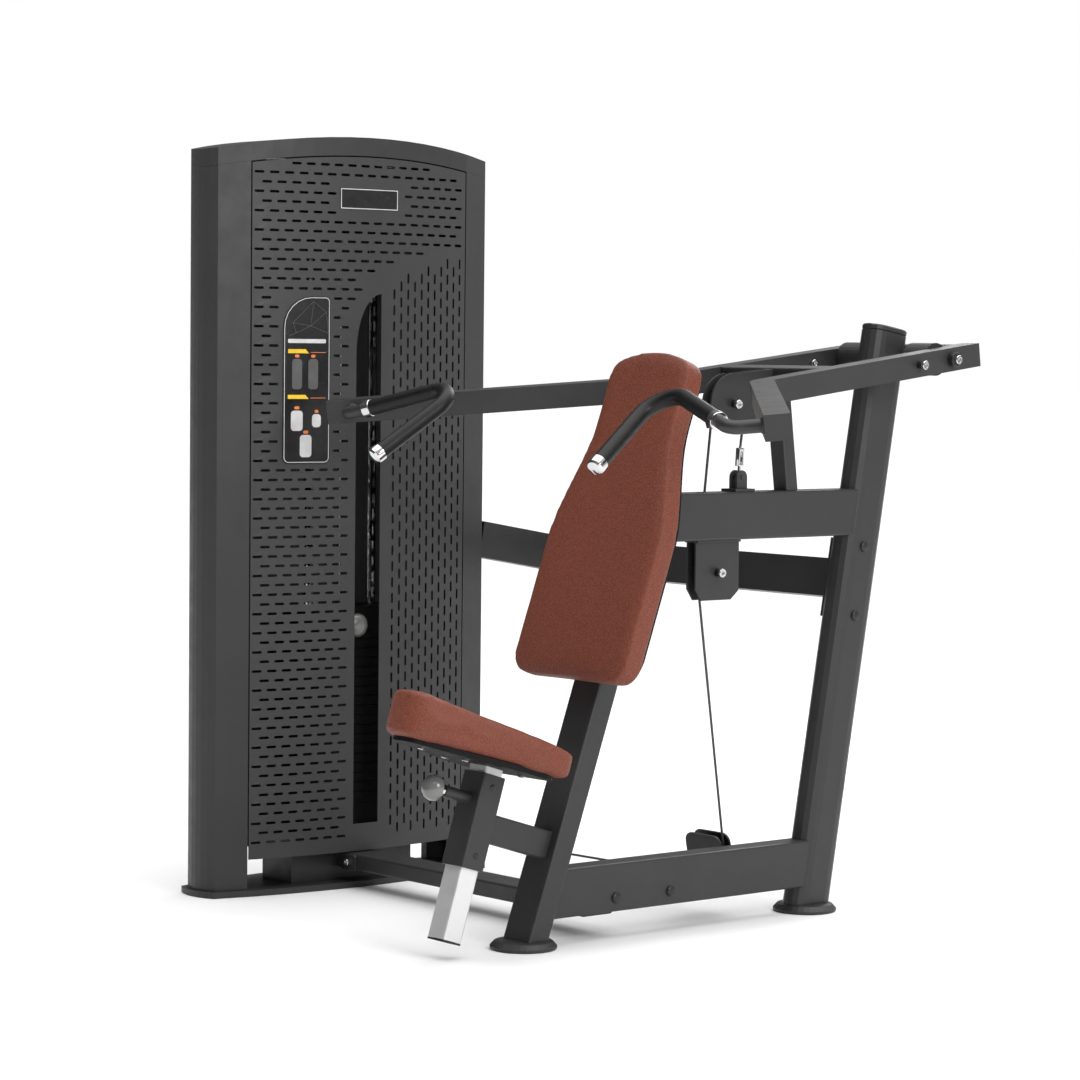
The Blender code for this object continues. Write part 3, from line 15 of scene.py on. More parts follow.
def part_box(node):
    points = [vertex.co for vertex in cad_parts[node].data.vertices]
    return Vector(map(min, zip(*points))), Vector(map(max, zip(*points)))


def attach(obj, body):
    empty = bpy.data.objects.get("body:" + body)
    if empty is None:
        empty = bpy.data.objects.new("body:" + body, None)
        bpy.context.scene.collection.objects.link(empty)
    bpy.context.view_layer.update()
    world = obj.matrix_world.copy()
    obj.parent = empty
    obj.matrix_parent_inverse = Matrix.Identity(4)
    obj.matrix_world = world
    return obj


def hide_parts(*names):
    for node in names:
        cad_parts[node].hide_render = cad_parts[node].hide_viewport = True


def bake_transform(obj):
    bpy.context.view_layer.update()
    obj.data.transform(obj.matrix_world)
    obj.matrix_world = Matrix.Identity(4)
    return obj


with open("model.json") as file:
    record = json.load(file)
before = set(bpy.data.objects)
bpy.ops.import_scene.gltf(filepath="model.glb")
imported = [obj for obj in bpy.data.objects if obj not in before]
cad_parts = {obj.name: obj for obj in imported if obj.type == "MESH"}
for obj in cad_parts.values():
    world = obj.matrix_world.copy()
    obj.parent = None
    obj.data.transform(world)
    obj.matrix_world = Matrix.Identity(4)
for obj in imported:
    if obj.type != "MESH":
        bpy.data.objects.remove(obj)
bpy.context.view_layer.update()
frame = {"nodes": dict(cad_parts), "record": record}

# ---- places shared with the CAD ----
FOOT_LOW, FOOT_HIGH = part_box("front_foot")
ORIGIN = Vector(((FOOT_LOW[0] + FOOT_HIGH[0]) / 2, (FOOT_LOW[1] + FOOT_HIGH[1]) / 2 - 0.001, 0.0))
TOWER = Vector((-0.840, 0.202, 0.0))
SHROUD_HALF_SPAN = 0.268
SHROUD_EDGE = 0.066
SHROUD_BULGE = 0.029
SHROUD_BOTTOM = 0.072
SHROUD_TOP = 1.4632
ARCH_DROP = 0.0293
ARCH_HALF_SPAN = 0.333
PIVOT = Vector((0.0, 0.925, 1.0717))
LEVER_TILT = math.radians(7.12)
ARM_HALF = 0.0225
BACK_LEAN = math.radians(19.6)
SEAT_LEAN = math.radians(17.2)
BEAM_SIDE = 0.025
STACK_BOTTOM = 0.1635
PLATE_PITCH = 0.0195
PLATES_PER_GROUP = 6
MID_PULLEY_Y, MID_PULLEY_Z = 0.455, 0.667
LEVER_PULLEY_Y, LEVER_PULLEY_Z = -0.4406, -0.0333
HOUSING_SIDE = 0.0134
TURNBUCKLE_LOW = Vector((0.0, 0.5195, 0.8520))
TURNBUCKLE_TOP = Vector((0.0, 0.5225, 0.9042))
GAP = 0.0003                      # clearance between touching pieces
MACHINE = "machine"


def place(x, y, z):
    return Vector((x, y, z)) + ORIGIN


ROW = Matrix.Translation(ORIGIN)
LEVER = ROW @ Matrix.Translation(PIVOT) @ Matrix.Rotation(LEVER_TILT, 4, "X")
SEAT = ROW @ Matrix.Translation((0.0, -0.0853, 0.3459)) @ Matrix.Rotation(-SEAT_LEAN, 4, "X")
BACK_Z = 0.488
BACK_Y = 0.102 + math.tan(BACK_LEAN) * (BACK_Z - 0.534)
BACK = ROW @ Matrix.Translation((0.0, BACK_Y, BACK_Z)) @ Matrix.Rotation(-BACK_LEAN, 4, "X")


# ---- materials ----
def map_range(tree, source, low, high, to_low, to_high):
    node = tree.nodes.new("ShaderNodeMapRange")
    for socket, value in (("From Min", low), ("From Max", high), ("To Min", to_low),
                          ("To Max", to_high)):
        node.inputs[socket].default_value = value
    tree.links.new(source, node.inputs["Value"])
    return node.outputs["Result"]


class Shader:
    """A Principled material with a few helpers for procedural detail."""

    def __init__(self, name, colour, roughness, metallic=0.0, **fixed):
        self.material = bpy.data.materials.new(name)
        self.material.use_nodes = True
        self.tree = self.material.node_tree
        self.shader = self.tree.nodes["Principled BSDF"]
        self.colour = colour
        self.shader.inputs["Base Color"].default_value = (*colour, 1.0)
        self.shader.inputs["Roughness"].default_value = roughness
        self.shader.inputs["Metallic"].default_value = metallic
        for socket, value in fixed.items():
            self.shader.inputs[socket.replace("_", " ")].default_value = value
        self.where = self.tree.nodes.new("ShaderNodeTexCoord")
        self.height = None

    def link(self, output, target):
        self.tree.links.new(output, target)

    def noise(self, scale, detail=3.0, roughness=0.5):
        node = self.tree.nodes.new("ShaderNodeTexNoise")
        node.inputs["Scale"].default_value = scale
        node.inputs["Detail"].default_value = detail
        node.inputs["Roughness"].default_value = roughness
        self.link(self.where.outputs["Object"], node.inputs["Vector"])
        return node.outputs["Fac"]

    def cells(self, scale):
        node = self.tree.nodes.new("ShaderNodeTexVoronoi")
        node.inputs["Scale"].default_value = scale
        self.link(self.where.outputs["Object"], node.inputs["Vector"])
        return node.outputs["Distance"]

    def remap(self, value, low, high, to_low, to_high):
        return map_range(self.tree, value, low, high, to_low, to_high)

    def blend_colours(self, share, first, second):
        node = self.tree.nodes.new("ShaderNodeMix")
        node.data_type = "RGBA"
        node.inputs["A"].default_value = (*first, 1.0)
        node.inputs["B"].default_value = (*second, 1.0)
        self.link(share, node.inputs["Factor"])
        return node.outputs["Result"]

    def vary_colour(self, scale, spread):
        """Lighter and darker drifts of the base colour."""
        share = self.remap(self.noise(scale, 4.0), 0.3, 0.7, 0.0, 1.0)
        dark = tuple(channel * (1.0 - spread) for channel in self.colour)
        light = tuple(min(channel * (1.0 + spread), 1.0) for channel in self.colour)
        self.link(self.blend_colours(share, dark, light), self.shader.inputs["Base Color"])
        return self

    def vary_roughness(self, scale, low, high):
        value = self.remap(self.noise(scale, 5.0, 0.6), 0.3, 0.7, low, high)
        self.link(value, self.shader.inputs["Roughness"])
        return self

    def bump(self, height, strength, distance):
        node = self.tree.nodes.new("ShaderNodeBump")
        node.inputs["Strength"].default_value = strength
        node.inputs["Distance"].default_value = distance
        self.link(height, node.inputs["Height"])
        if self.height is not None:
            self.link(self.height, node.inputs["Normal"])
        self.height = node.outputs["Normal"]
        self.link(self.height, self.shader.inputs["Normal"])
        return self


def powder_coat(name, colour, roughness=0.46):
    """Satin powder coat: a fine orange peel with small drifts in colour and gloss."""
    made = Shader(name, colour, roughness, 0.0, Specular_IOR_Level=0.5)
    made.vary_colour(9.0, 0.07)
    made.vary_roughness(26.0, roughness - 0.05, roughness + 0.07)
    made.bump(made.noise(1500.0, 2.0), 0.10, 0.0004)
    made.bump(made.noise(60.0, 2.0), 0.05, 0.0006)
    return made.material


def leather(name, colour, pebble_scale=380.0):
    """Pebbled upholstery leather with a soft sheen, paler on the pebbles than between them; the
    darkening between the pebbles is painted shade.
    """
    made = Shader(name, colour, 0.5, 0.0, Sheen_Weight=0.03, Sheen_Roughness=0.4,
                  Specular_IOR_Level=0.30)
    made.vary_roughness(220.0, 0.42, 0.60)
    # painted shade: the colour darkens in the crevices between the pebbles
    painted_crevice_shade = made.remap(made.cells(pebble_scale), 0.20, 0.60, 0.0, 1.0)
    drift = made.remap(made.noise(14.0, 4.0), 0.3, 0.7, 0.0, 0.35)
    # the darker colour takes the stronger of the painted crevice shade and a random drift in tone
    drift_and_crevice_shade = made.tree.nodes.new("ShaderNodeMath")
    drift_and_crevice_shade.operation = "MAXIMUM"
    made.link(painted_crevice_shade, drift_and_crevice_shade.inputs[0])
    made.link(drift, drift_and_crevice_shade.inputs[1])
    light = tuple(channel * 1.15 for channel in colour)
    dark = tuple(channel * 0.74 for channel in colour)
    made.link(made.blend_colours(drift_and_crevice_shade.outputs["Value"], light, dark),
              made.shader.inputs["Base Color"])
    pebbles = made.remap(made.cells(pebble_scale), 0.0, 0.60, 1.0, 0.0)
    made.bump(pebbles, 0.65, 0.0009)
    made.bump(made.noise(1200.0, 3.0), 0.22, 0.0004)
    made.bump(made.noise(22.0, 3.0), 0.15, 0.0020)
    return made.material


def chrome(name, colour=(0.62, 0.62, 0.63)):
    made = Shader(name, colour, 0.09, 1.0)
    made.vary_colour(30.0, 0.03)
    made.vary_roughness(45.0, 0.05, 0.14)
    made.bump(made.noise(900.0, 2.0), 0.02, 0.0002)
    return made.material


def bright_steel(name):
    """Satin plated steel with faint drawing marks along the tube."""
    made = Shader(name, (0.74, 0.74, 0.74), 0.36, 0.60)
    made.vary_colour(25.0, 0.03)
    made.vary_roughness(60.0, 0.32, 0.42)
    made.bump(made.noise(90.0, 2.0), 0.03, 0.0003)
    return made.material


def moulded(name, colour, roughness, grain=900.0, depth=0.12, **fixed):
    """Rubber or plastic with a moulded grain."""
    made = Shader(name, colour, roughness, 0.0, **fixed)
    made.vary_colour(40.0, 0.12)
    made.vary_roughness(70.0, roughness - 0.06, roughness + 0.06)
    made.bump(made.noise(grain, 3.0), depth, 0.0004)
    return made.material


def cast_paint(name, colour):
    made = Shader(name, colour, 0.62, 0.0, Specular_IOR_Level=0.15)
    made.vary_colour(35.0, 0.15)
    made.vary_roughness(90.0, 0.45, 0.66)
    made.bump(made.noise(420.0, 4.0), 0.25, 0.0006)
    return made.material


def wire_rope(name, colour, metallic=0.0):
    """Coated wire rope: a fine twist that shows through the coat."""
    made = Shader(name, colour, 0.38, metallic, Coat_Weight=0.3, Coat_Roughness=0.2)
    made.vary_colour(120.0, 0.2)
    wave = made.tree.nodes.new("ShaderNodeTexWave")
    wave.bands_direction = "DIAGONAL"
    wave.inputs["Scale"].default_value = 260.0
    wave.inputs["Distortion"].default_value = 0.4
    made.link(made.where.outputs["Object"], wave.inputs["Vector"])
    made.bump(wave.outputs["Fac"], 0.35, 0.0005)
    return made.material


SLOT_MATERIALS = {
    "frame_paint": powder_coat("frame_paint", (0.023, 0.023, 0.023)),
    "shroud_paint": powder_coat("shroud_paint", (0.033, 0.033, 0.033), 0.5),
    "chrome": chrome("chrome"),
    "cast_plate": cast_paint("cast_plate", (0.006, 0.006, 0.0065)),
    "leather": leather("leather", (0.200, 0.052, 0.029)),
    "rubber": moulded("rubber", (0.006, 0.006, 0.006), 0.44, 700.0, 0.14,
                      Specular_IOR_Level=0.28),
    "nylon": moulded("nylon", (0.009, 0.009, 0.009), 0.42, 500.0, 0.10),
    "knob_plastic": moulded("knob_plastic", (0.15, 0.15, 0.145), 0.22, 120.0, 0.10,
                            Coat_Weight=0.6, Coat_Roughness=0.08),
    "cable_coat": wire_rope("cable_coat", (0.018, 0.018, 0.018)),
    "print_plate": moulded("print_plate", (0.012, 0.012, 0.013), 0.22, 60.0, 0.03),
}
STEEL_ROPE = wire_rope("steel_rope", (0.30, 0.30, 0.30), 0.9)
PRINT_WHITE = moulded("print_white", (0.62, 0.62, 0.62), 0.4, 300.0, 0.05)
PRINT_GREY = moulded("print_grey", (0.09, 0.09, 0.09), 0.4, 300.0, 0.05)
PRINT_YELLOW = moulded("print_yellow", (0.85, 0.55, 0.02), 0.4, 300.0, 0.05)
PRINT_ORANGE = moulded("print_orange", (0.75, 0.20, 0.05), 0.4, 300.0, 0.05)

OWN_FINISH = {
    "seat_post": bright_steel("bright_steel"),
    "low_pulley_bracket": powder_coat("black_paint", (0.006, 0.006, 0.006)),
}
CAD_SHARP_ANGLE = math.radians(32)
RUBBER_EDGE = 0.0025

for entry in frame["record"]["subparts"]:
    node = frame["nodes"][entry["node"]]
    finish = OWN_FINISH.get(entry["node"], SLOT_MATERIALS[entry["material_slot"]])
    node.data.materials.clear()
    node.data.materials.append(finish)
    node.data.shade_smooth()
    node.data.set_sharp_from_angle(angle=CAD_SHARP_ANGLE)
for block in ("stop_pad", "stack_bumper"):
    edge = frame["nodes"][block].modifiers.new("edge", "BEVEL")
    edge.width = RUBBER_EDGE
    edge.segments = 3
    edge.limit_method = "ANGLE"


# ---- making pieces ----
def linked(name, data):
    """A new object, in the scene."""
    obj = bpy.data.objects.new(name, data)
    bpy.context.scene.collection.objects.link(obj)
    return obj


def evaluated(obj):
    """The object's mesh, modifiers applied."""
    bpy.context.view_layer.update()
    graph = bpy.context.evaluated_depsgraph_get()
    return bpy.data.meshes.new_from_object(obj.evaluated_get(graph))


def edited(mesh):
    made = bmesh.new()
    made.from_mesh(mesh)
    return made


def add(name, mesh, slot, body, matrix=None, surface=None, angle=35, stands_for=()):
    """A finished piece: its mesh, its material, the body it rides on and what it stands for."""
    obj = linked(name, mesh)
    if matrix is not None:
        obj.matrix_world = matrix
    mesh.materials.clear()
    mesh.materials.append(surface or SLOT_MATERIALS[slot])
    mesh.shade_smooth()
    mesh.set_sharp_from_angle(angle=math.radians(angle))
    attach(obj, body)
    if stands_for:
        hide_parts(*stands_for)
    return obj


def finish_mesh(made, name):
    mesh = bpy.data.meshes.new(name)
    bmesh.ops.recalc_face_normals(made, faces=made.faces)
    made.to_mesh(mesh)
    made.free()
    return mesh


def circle_points(steps, radius):
    """Points round a circle. The radius is a number, or a function of the angle."""
    points = []
    for index in range(steps):
        angle = 2 * math.pi * index / steps
        size = radius(angle) if callable(radius) else radius
        points.append((size * math.cos(angle), size * math.sin(angle)))
    return points


def bridge_rings(made, lower, upper):
    for index in range(len(lower)):
        after = (index + 1) % len(lower)
        made.faces.new((lower[index], lower[after], upper[after], upper[index]))


def turned(name, profile, steps=32):
    """A closed solid of revolution about Z from (radius, height) points, from top to bottom."""
    made = bmesh.new()
    rings = []
    for radius, height in profile:
        if radius == 0.0:
            rings.append([made.verts.new((0.0, 0.0, height))])
            continue
        rings.append([made.verts.new((x, y, height)) for x, y in circle_points(steps, radius)])
    closed = profile[0][0] > 0.0 or profile[-1][0] > 0.0
    pairs = list(zip(rings, rings[1:]))
    if closed:
        pairs.append((rings[-1], rings[0]))
    for upper, lower in pairs:
        for index in range(steps):
            after = (index + 1) % steps
            corners = [upper[index % len(upper)], upper[after % len(upper)],
                       lower[after % len(lower)], lower[index % len(lower)]]
            unique = list(dict.fromkeys(corners))
            if len(unique) > 2:
                made.faces.new(unique)
    return finish_mesh(made, name)


def flat_fill(name, loops, low, high):
    """A flat outline (holes as further loops) raised from low to high along Z."""
    curve = bpy.data.curves.new(name, "CURVE")
    curve.dimensions = "2D"
    curve.fill_mode = "BOTH"
    curve.extrude = (high - low) / 2
    for points in loops:
        spline = curve.splines.new("POLY")
        spline.points.add(len(points) - 1)
        for point, (x, y) in zip(spline.points, points):
            point.co = (x, y, 0.0, 1.0)
        spline.use_cyclic_u = True
    obj = linked(name, curve)
    made = edited(evaluated(obj))
    bpy.data.objects.remove(obj)
    bmesh.ops.remove_doubles(made, verts=made.verts, dist=0.00001)
    bmesh.ops.translate(made, verts=made.verts, vec=(0.0, 0.0, (low + high) / 2))
    return finish_mesh(made, name)


def bevelled(mesh, width, segments=3, angle=35):
    """Rounds a mesh's sharp edges in place."""
    made = edited(mesh)
    sharp = []
    for edge in made.edges:
        if len(edge.link_faces) == 2 and edge.calc_face_angle(0.0) > math.radians(angle):
            sharp.append(edge)
    bmesh.ops.bevel(made, geom=sharp, offset=width, segments=segments, affect="EDGES",
                    profile=0.5, clamp_overlap=True)
    made.to_mesh(mesh)
    made.free()
    return mesh


def arc_points(centre, radius, start, end, count):
    points = []
    for index in range(count + 1):
        angle = math.radians(start + (end - start) * index / count)
        points.append((centre[0] + radius * math.cos(angle), centre[1] + radius * math.sin(angle)))
    return points


def rounded_loop(left, right, low, high, radii, count=6):
    """A rectangle, its corner radii in turn from the lower right, counterclockwise."""
    a, b, c, d = radii
    return (arc_points((right - a, low + a), a, -90, 0, count)
            + arc_points((right - b, high - b), b, 0, 90, count)
            + arc_points((left + c, high - c), c, 90, 180, count)
            + arc_points((left + d, low + d), d, 180, 270, count))


def fillet_path(points, radii, count=10):
    points = [Vector(point) for point in points]
    path = [points[0]]
    for before, corner, after, radius in zip(points, points[1:], points[2:], radii):
        to_before = (before - corner).normalized()
        to_after = (after - corner).normalized()
        half = to_before.angle(to_after) / 2
        reach = radius / math.tan(half)
        middle = corner + (to_before + to_after).normalized() * (radius / math.sin(half))
        start = (corner + to_before * reach - middle).normalized()
        end = (corner + to_after * reach - middle).normalized()
        for index in range(count + 1):
            path.append(middle + start.slerp(end, index / count) * radius)
    path.append(points[-1])
    return path


def tube(name, path, radius, sides=20):
    """A closed round bar along a path, its section carried smoothly from point to point."""
    made = bmesh.new()
    rings = []
    first = (path[1] - path[0]).normalized()
    side = first.orthogonal().normalized()
    for index, here in enumerate(path):
        before = path[max(index - 1, 0)]
        after = path[min(index + 1, len(path) - 1)]
        along = (after - before).normalized()
        side = (side - along * side.dot(along)).normalized()
        up = along.cross(side)
        rings.append([made.verts.new(here + side * x + up * y)
                      for x, y in circle_points(sides, radius)])
    for lower, upper in zip(rings, rings[1:]):
        bridge_rings(made, lower, upper)
    made.faces.new(rings[0][::-1])
    made.faces.new(rings[-1])
    return finish_mesh(made, name)


SCREW_HEAD = ((1.0, 0.0), (1.0, 0.82), (0.88, 1.0), (0.62, 1.0), (0.55, 0.93))
SOCKET_SHARE = 0.50
SOCKET_LEVELS = (0.93, 0.35)
SPACER_EDGE = 0.001
PLUG_DOME = ((0.0, 1.0), (0.55, 1.0), (0.82, 0.86), (0.97, 0.5), (1.0, 0.0), (0.0, 0.0))


def facing(position, direction):
    """A frame at a place whose Z axis points along direction."""
    turn = Vector(direction).to_track_quat("Z", "Y").to_matrix().to_4x4()
    return Matrix.Translation(position) @ turn


def socket_screw_mesh(name, radius, height):
    """A cap screw's head with a hexagon socket, its seat at Z = 0."""
    def hexagon(angle):
        corner = math.cos(math.pi / 6) / math.cos((angle % (math.pi / 3)) - math.pi / 6)
        return radius * SOCKET_SHARE * corner

    levels = [(radius * share, height * level) for share, level in SCREW_HEAD]
    levels += [(hexagon, height * level) for level in SOCKET_LEVELS]
    made = bmesh.new()
    rings = [[made.verts.new((x, y, level)) for x, y in circle_points(24, size)]
             for size, level in levels]
    for lower, upper in zip(rings, rings[1:]):
        bridge_rings(made, lower, upper)
    made.faces.new(rings[0][::-1])
    made.faces.new(rings[-1])
    return finish_mesh(made, name)


def screw(name, position, direction, body, radius, height, spacer=0.0, spacer_radius=0.0):
    """A chrome socket screw, on a black spacer when it has one."""
    direction = Vector(direction).normalized()
    if spacer:
        edge = SPACER_EDGE
        profile = ((0.0, spacer), (spacer_radius - edge, spacer), (spacer_radius, spacer - edge),
                   (spacer_radius, edge), (spacer_radius - edge, 0.0), (0.0, 0.0))
        add(name + "_spacer", turned(name + "_spacer", profile), "nylon", body,
            facing(position, direction))
    head = socket_screw_mesh(name, radius, height)
    add(name, head, "chrome", body, facing(position + direction * spacer, direction), angle=25)


def cap_plug(name, position, direction, body, radius=0.010, height=0.005):
    """A dark moulded cap over a bolt."""
    profile = [(radius * share, height * level) for share, level in PLUG_DOME]
    add(name, turned(name, profile), "nylon", body, facing(position, direction), angle=50)


# ---- the perforated shroud ----
ROW_PITCH = 0.01885
FIRST_ROW = 1.4432
LAST_ROW = 0.100
DASH_PITCH = 0.0319
DASH_LENGTH = 0.0210
DASH_HALF = 0.0026
LEFT_START = -0.2615
COLUMN_PITCH = 0.01853
FIRST_COLUMN = 0.0640
LAST_COLUMN = 0.251
UPRIGHT_PITCH = 0.0322
COLUMN_LOW_LIMIT = 0.088
UPRIGHT_TOP = 1.2653
ROW_DASHES = 16
DASH_SIDE_LIMIT = 0.2625          # dashes stay inside the sheet's two sides
ARCH_MARGIN = 0.0105              # and below its arched top edge
FULL_ROW_ABOVE = 1.283            # rows above this cross the whole sheet
FULL_ROW_END = 0.256
SWEEP_ABOVE = 1.210               # rows above this end along the plain sweep
SWEEP_ALONG, SWEEP_HEIGHT, SWEEP_SLOPE = 0.178, 1.2745, 4.3
SWEEP_EASE_HEIGHT, SWEEP_EASE_SLOPE = 1.2555, 1.2
SIDE_ALONG, SIDE_HEIGHT, SIDE_SLOPE = -0.016, 1.1993, 0.84
SIDE_ROW_END = -0.047             # lower rows end beside the window
COLUMN_TOP_LOW, COLUMN_TOP_RISE = 1.205, 0.069
COLUMN_TOP_START, COLUMN_TOP_SPAN = 0.0600, 0.19
WINDOW = (-0.031, 0.031, 0.127, 1.070, 1.190)
PLACARD = (-0.1995, -0.0950, 0.8530, 1.1825)
NAME_PLATE = (-0.072, 0.070, 1.3575, 1.3980)
PLAIN_MARGIN = 0.006
GROOVE = 0.0025
SHROUD_SHEET = 0.002
PLATE_SHEET = 0.0012
INK = 0.0003
BEND_STEPS = 20


def shroud_out(along):
    """How far the shroud's face stands from the tower's middle plane."""
    radius = (SHROUD_HALF_SPAN ** 2 + SHROUD_BULGE ** 2) / (2 * SHROUD_BULGE)
    return SHROUD_EDGE + SHROUD_BULGE - radius + math.sqrt(radius ** 2 - along ** 2)


def arch_height(along):
    return SHROUD_TOP - ARCH_DROP * (along / ARCH_HALF_SPAN) ** 2


def near(low, high, bottom, top, area):
    return (low < area[1] + PLAIN_MARGIN and high > area[0] - PLAIN_MARGIN
            and bottom < area[3] + PLAIN_MARGIN and top > area[2] - PLAIN_MARGIN)


def row_end(height):
    """How far rearward a row of dashes may reach at a height."""
    if height > FULL_ROW_ABOVE:
        return FULL_ROW_END
    if height > SWEEP_ABOVE:
        ease = max(0.0, SWEEP_EASE_HEIGHT - height) * SWEEP_EASE_SLOPE
        return SWEEP_ALONG - (SWEEP_HEIGHT - height) * SWEEP_SLOPE + ease
    return max(SIDE_ROW_END, SIDE_ALONG - (SIDE_HEIGHT - height) * SIDE_SLOPE)


def column_top(along):
    """How high a column of dashes may reach, under the plain sweep."""
    share = (along - COLUMN_TOP_START) / COLUMN_TOP_SPAN
    return COLUMN_TOP_LOW + COLUMN_TOP_RISE * math.sqrt(share)


def row_dash_fits(low, high, height):
    reach = max(abs(low), abs(high))
    if reach > DASH_SIDE_LIMIT or height > arch_height(reach) - ARCH_MARGIN:
        return False
    if high > row_end(height):
        return False
    spot = (low, high, height - DASH_HALF, height + DASH_HALF)
    return not near(*spot, PLACARD) and not near(*spot, NAME_PLATE)


def dash_loops():
    """The slots as flat outlines (along, height)."""
    loops = []
    rows = int((FIRST_ROW - LAST_ROW) / ROW_PITCH) + 1
    for row in range(rows):
        height = FIRST_ROW - row * ROW_PITCH
        shift = 0.0 if row % 2 else DASH_PITCH / 2
        for index in range(ROW_DASHES):
            low = LEFT_START + shift + index * DASH_PITCH
            high = low + DASH_LENGTH
            if row_dash_fits(low, high, height):
                loops.append(slot_loop(low, high, height, True))
    columns = int((LAST_COLUMN - FIRST_COLUMN) / COLUMN_PITCH) + 1
    for column in range(columns):
        along = FIRST_COLUMN + column * COLUMN_PITCH
        top = UPRIGHT_TOP - (UPRIGHT_PITCH / 2) * (column % 2)
        while top - DASH_LENGTH > COLUMN_LOW_LIMIT:
            if top <= column_top(along):
                loops.append(slot_loop(top - DASH_LENGTH, top, along, False))
            top -= UPRIGHT_PITCH
    return loops


def slot_loop(low, high, middle, level):
    """A slot with round ends, along the row when level and upright when not."""
    points = (arc_points((high - DASH_HALF, 0.0), DASH_HALF, -90, 90, 4)
              + arc_points((low + DASH_HALF, 0.0), DASH_HALF, 90, 270, 4))
    if level:
        return [(along, middle + across) for along, across in points]
    return [(middle + across, along) for along, across in points]


def window_loop():
    left, right, bottom, side_top, tip = WINDOW
    sweep = []
    for index in range(13):
        angle = math.radians(90 * index / 12)
        sweep.append((right - (right - left) * math.cos(angle),
                      side_top + (tip - side_top) * math.sin(angle)))
    return [(left, bottom), (right, bottom), (right, tip)] + sweep[::-1][1:]


def bend_to_shroud(made, lift):
    """Moves a flat (along, height, out) shape onto the shroud's curved face."""
    for vert in made.verts:
        along, height, out = vert.co
        vert.co = place(TOWER.x + shroud_out(along) + out + lift, TOWER.y + along, height)


def split_along(made):
    """Cuts long faces at even steps, so that they can follow the curve."""
    for index in range(1, BEND_STEPS):
        along = -SHROUD_HALF_SPAN + 2 * SHROUD_HALF_SPAN * index / BEND_STEPS
        geometry = made.verts[:] + made.edges[:] + made.faces[:]
        bmesh.ops.bisect_plane(made, geom=geometry, plane_co=(along, 0.0, 0.0),
                               plane_no=(1.0, 0.0, 0.0), dist=0.00001)


def on_shroud(name, loops, thickness, lift, slot, surface=None, stands_for=()):
    made = edited(flat_fill(name, loops, 0.0, thickness))
    split_along(made)
    bend_to_shroud(made, lift)
    return add(name, finish_mesh(made, name), slot, MACHINE, surface=surface, angle=30,
               stands_for=stands_for)


def build_shroud():
    """The sheet stands clear of the posts and the cap by a narrow dark groove."""
    edge = []
    half = SHROUD_HALF_SPAN - GROOVE
    for index in range(25):
        along = -half + 2 * half * index / 24
        edge.append((along, arch_height(along) - GROOVE))
    outline = [(half, SHROUD_BOTTOM), (-half, SHROUD_BOTTOM)] + edge
    loops = [outline, window_loop()] + dash_loops()
    on_shroud("perforated_shroud", loops, SHROUD_SHEET, -SHROUD_SHEET, "shroud_paint",
              stands_for=("tower_inner_shroud",))


def frame_loop(area, radii, inset):
    left, right, low, high = area
    return rounded_loop(left + inset, right - inset, low + inset, high - inset,
                        [max(radius - inset, 0.0005) for radius in radii])


PLACARD_RADII = (0.012, 0.010, 0.062, 0.012)
PLACARD_BORDER = (0.0018, 0.0031)
PLACARD_FACE = GAP + PLATE_SHEET + GAP
PLACARD_EDGE = 0.010
BAR_DROPS = (0.112, 0.202)         # each yellow bar, below the placard's top
BAR_LENGTH, BAR_SLANT, BAR_HEIGHT = 0.046, 0.007, 0.008
LINE_START, LINE_LOW, LINE_HIGH = 0.060, 0.0012, 0.0024
HEADING_DROPS = (0.092, 0.084)
BLOCKS = (                         # along, below the top, width, height, ink
    (0.030, 0.153, 0.022, 0.060, PRINT_GREY), (0.066, 0.153, 0.022, 0.060, PRINT_GREY),
    (0.030, 0.245, 0.026, 0.040, PRINT_WHITE), (0.074, 0.245, 0.020, 0.026, PRINT_WHITE),
    (0.050, 0.295, 0.026, 0.044, PRINT_WHITE))
BLOCK_RADIUS = 0.007
MARK_SHARE, MARK_LOW, MARK_HIGH, MARK_RADIUS = 0.22, 0.0025, 0.0085, 0.0028
NET_KNOTS = ((0.020, 0.052), (0.066, 0.010), (0.060, 0.058), (0.095, 0.030), (0.028, 0.072),
             (0.100, 0.072), (0.012, 0.078))
NET_LINES = ((0, 1), (0, 2), (1, 2), (1, 3), (2, 3), (2, 4), (2, 5), (4, 6), (0, 4), (3, 5))
NET_HALF = 0.00035


def printed(name, loops, surface):
    """A shape of ink on the placard."""
    on_shroud(name, loops, INK, PLACARD_FACE, "print_plate", surface)


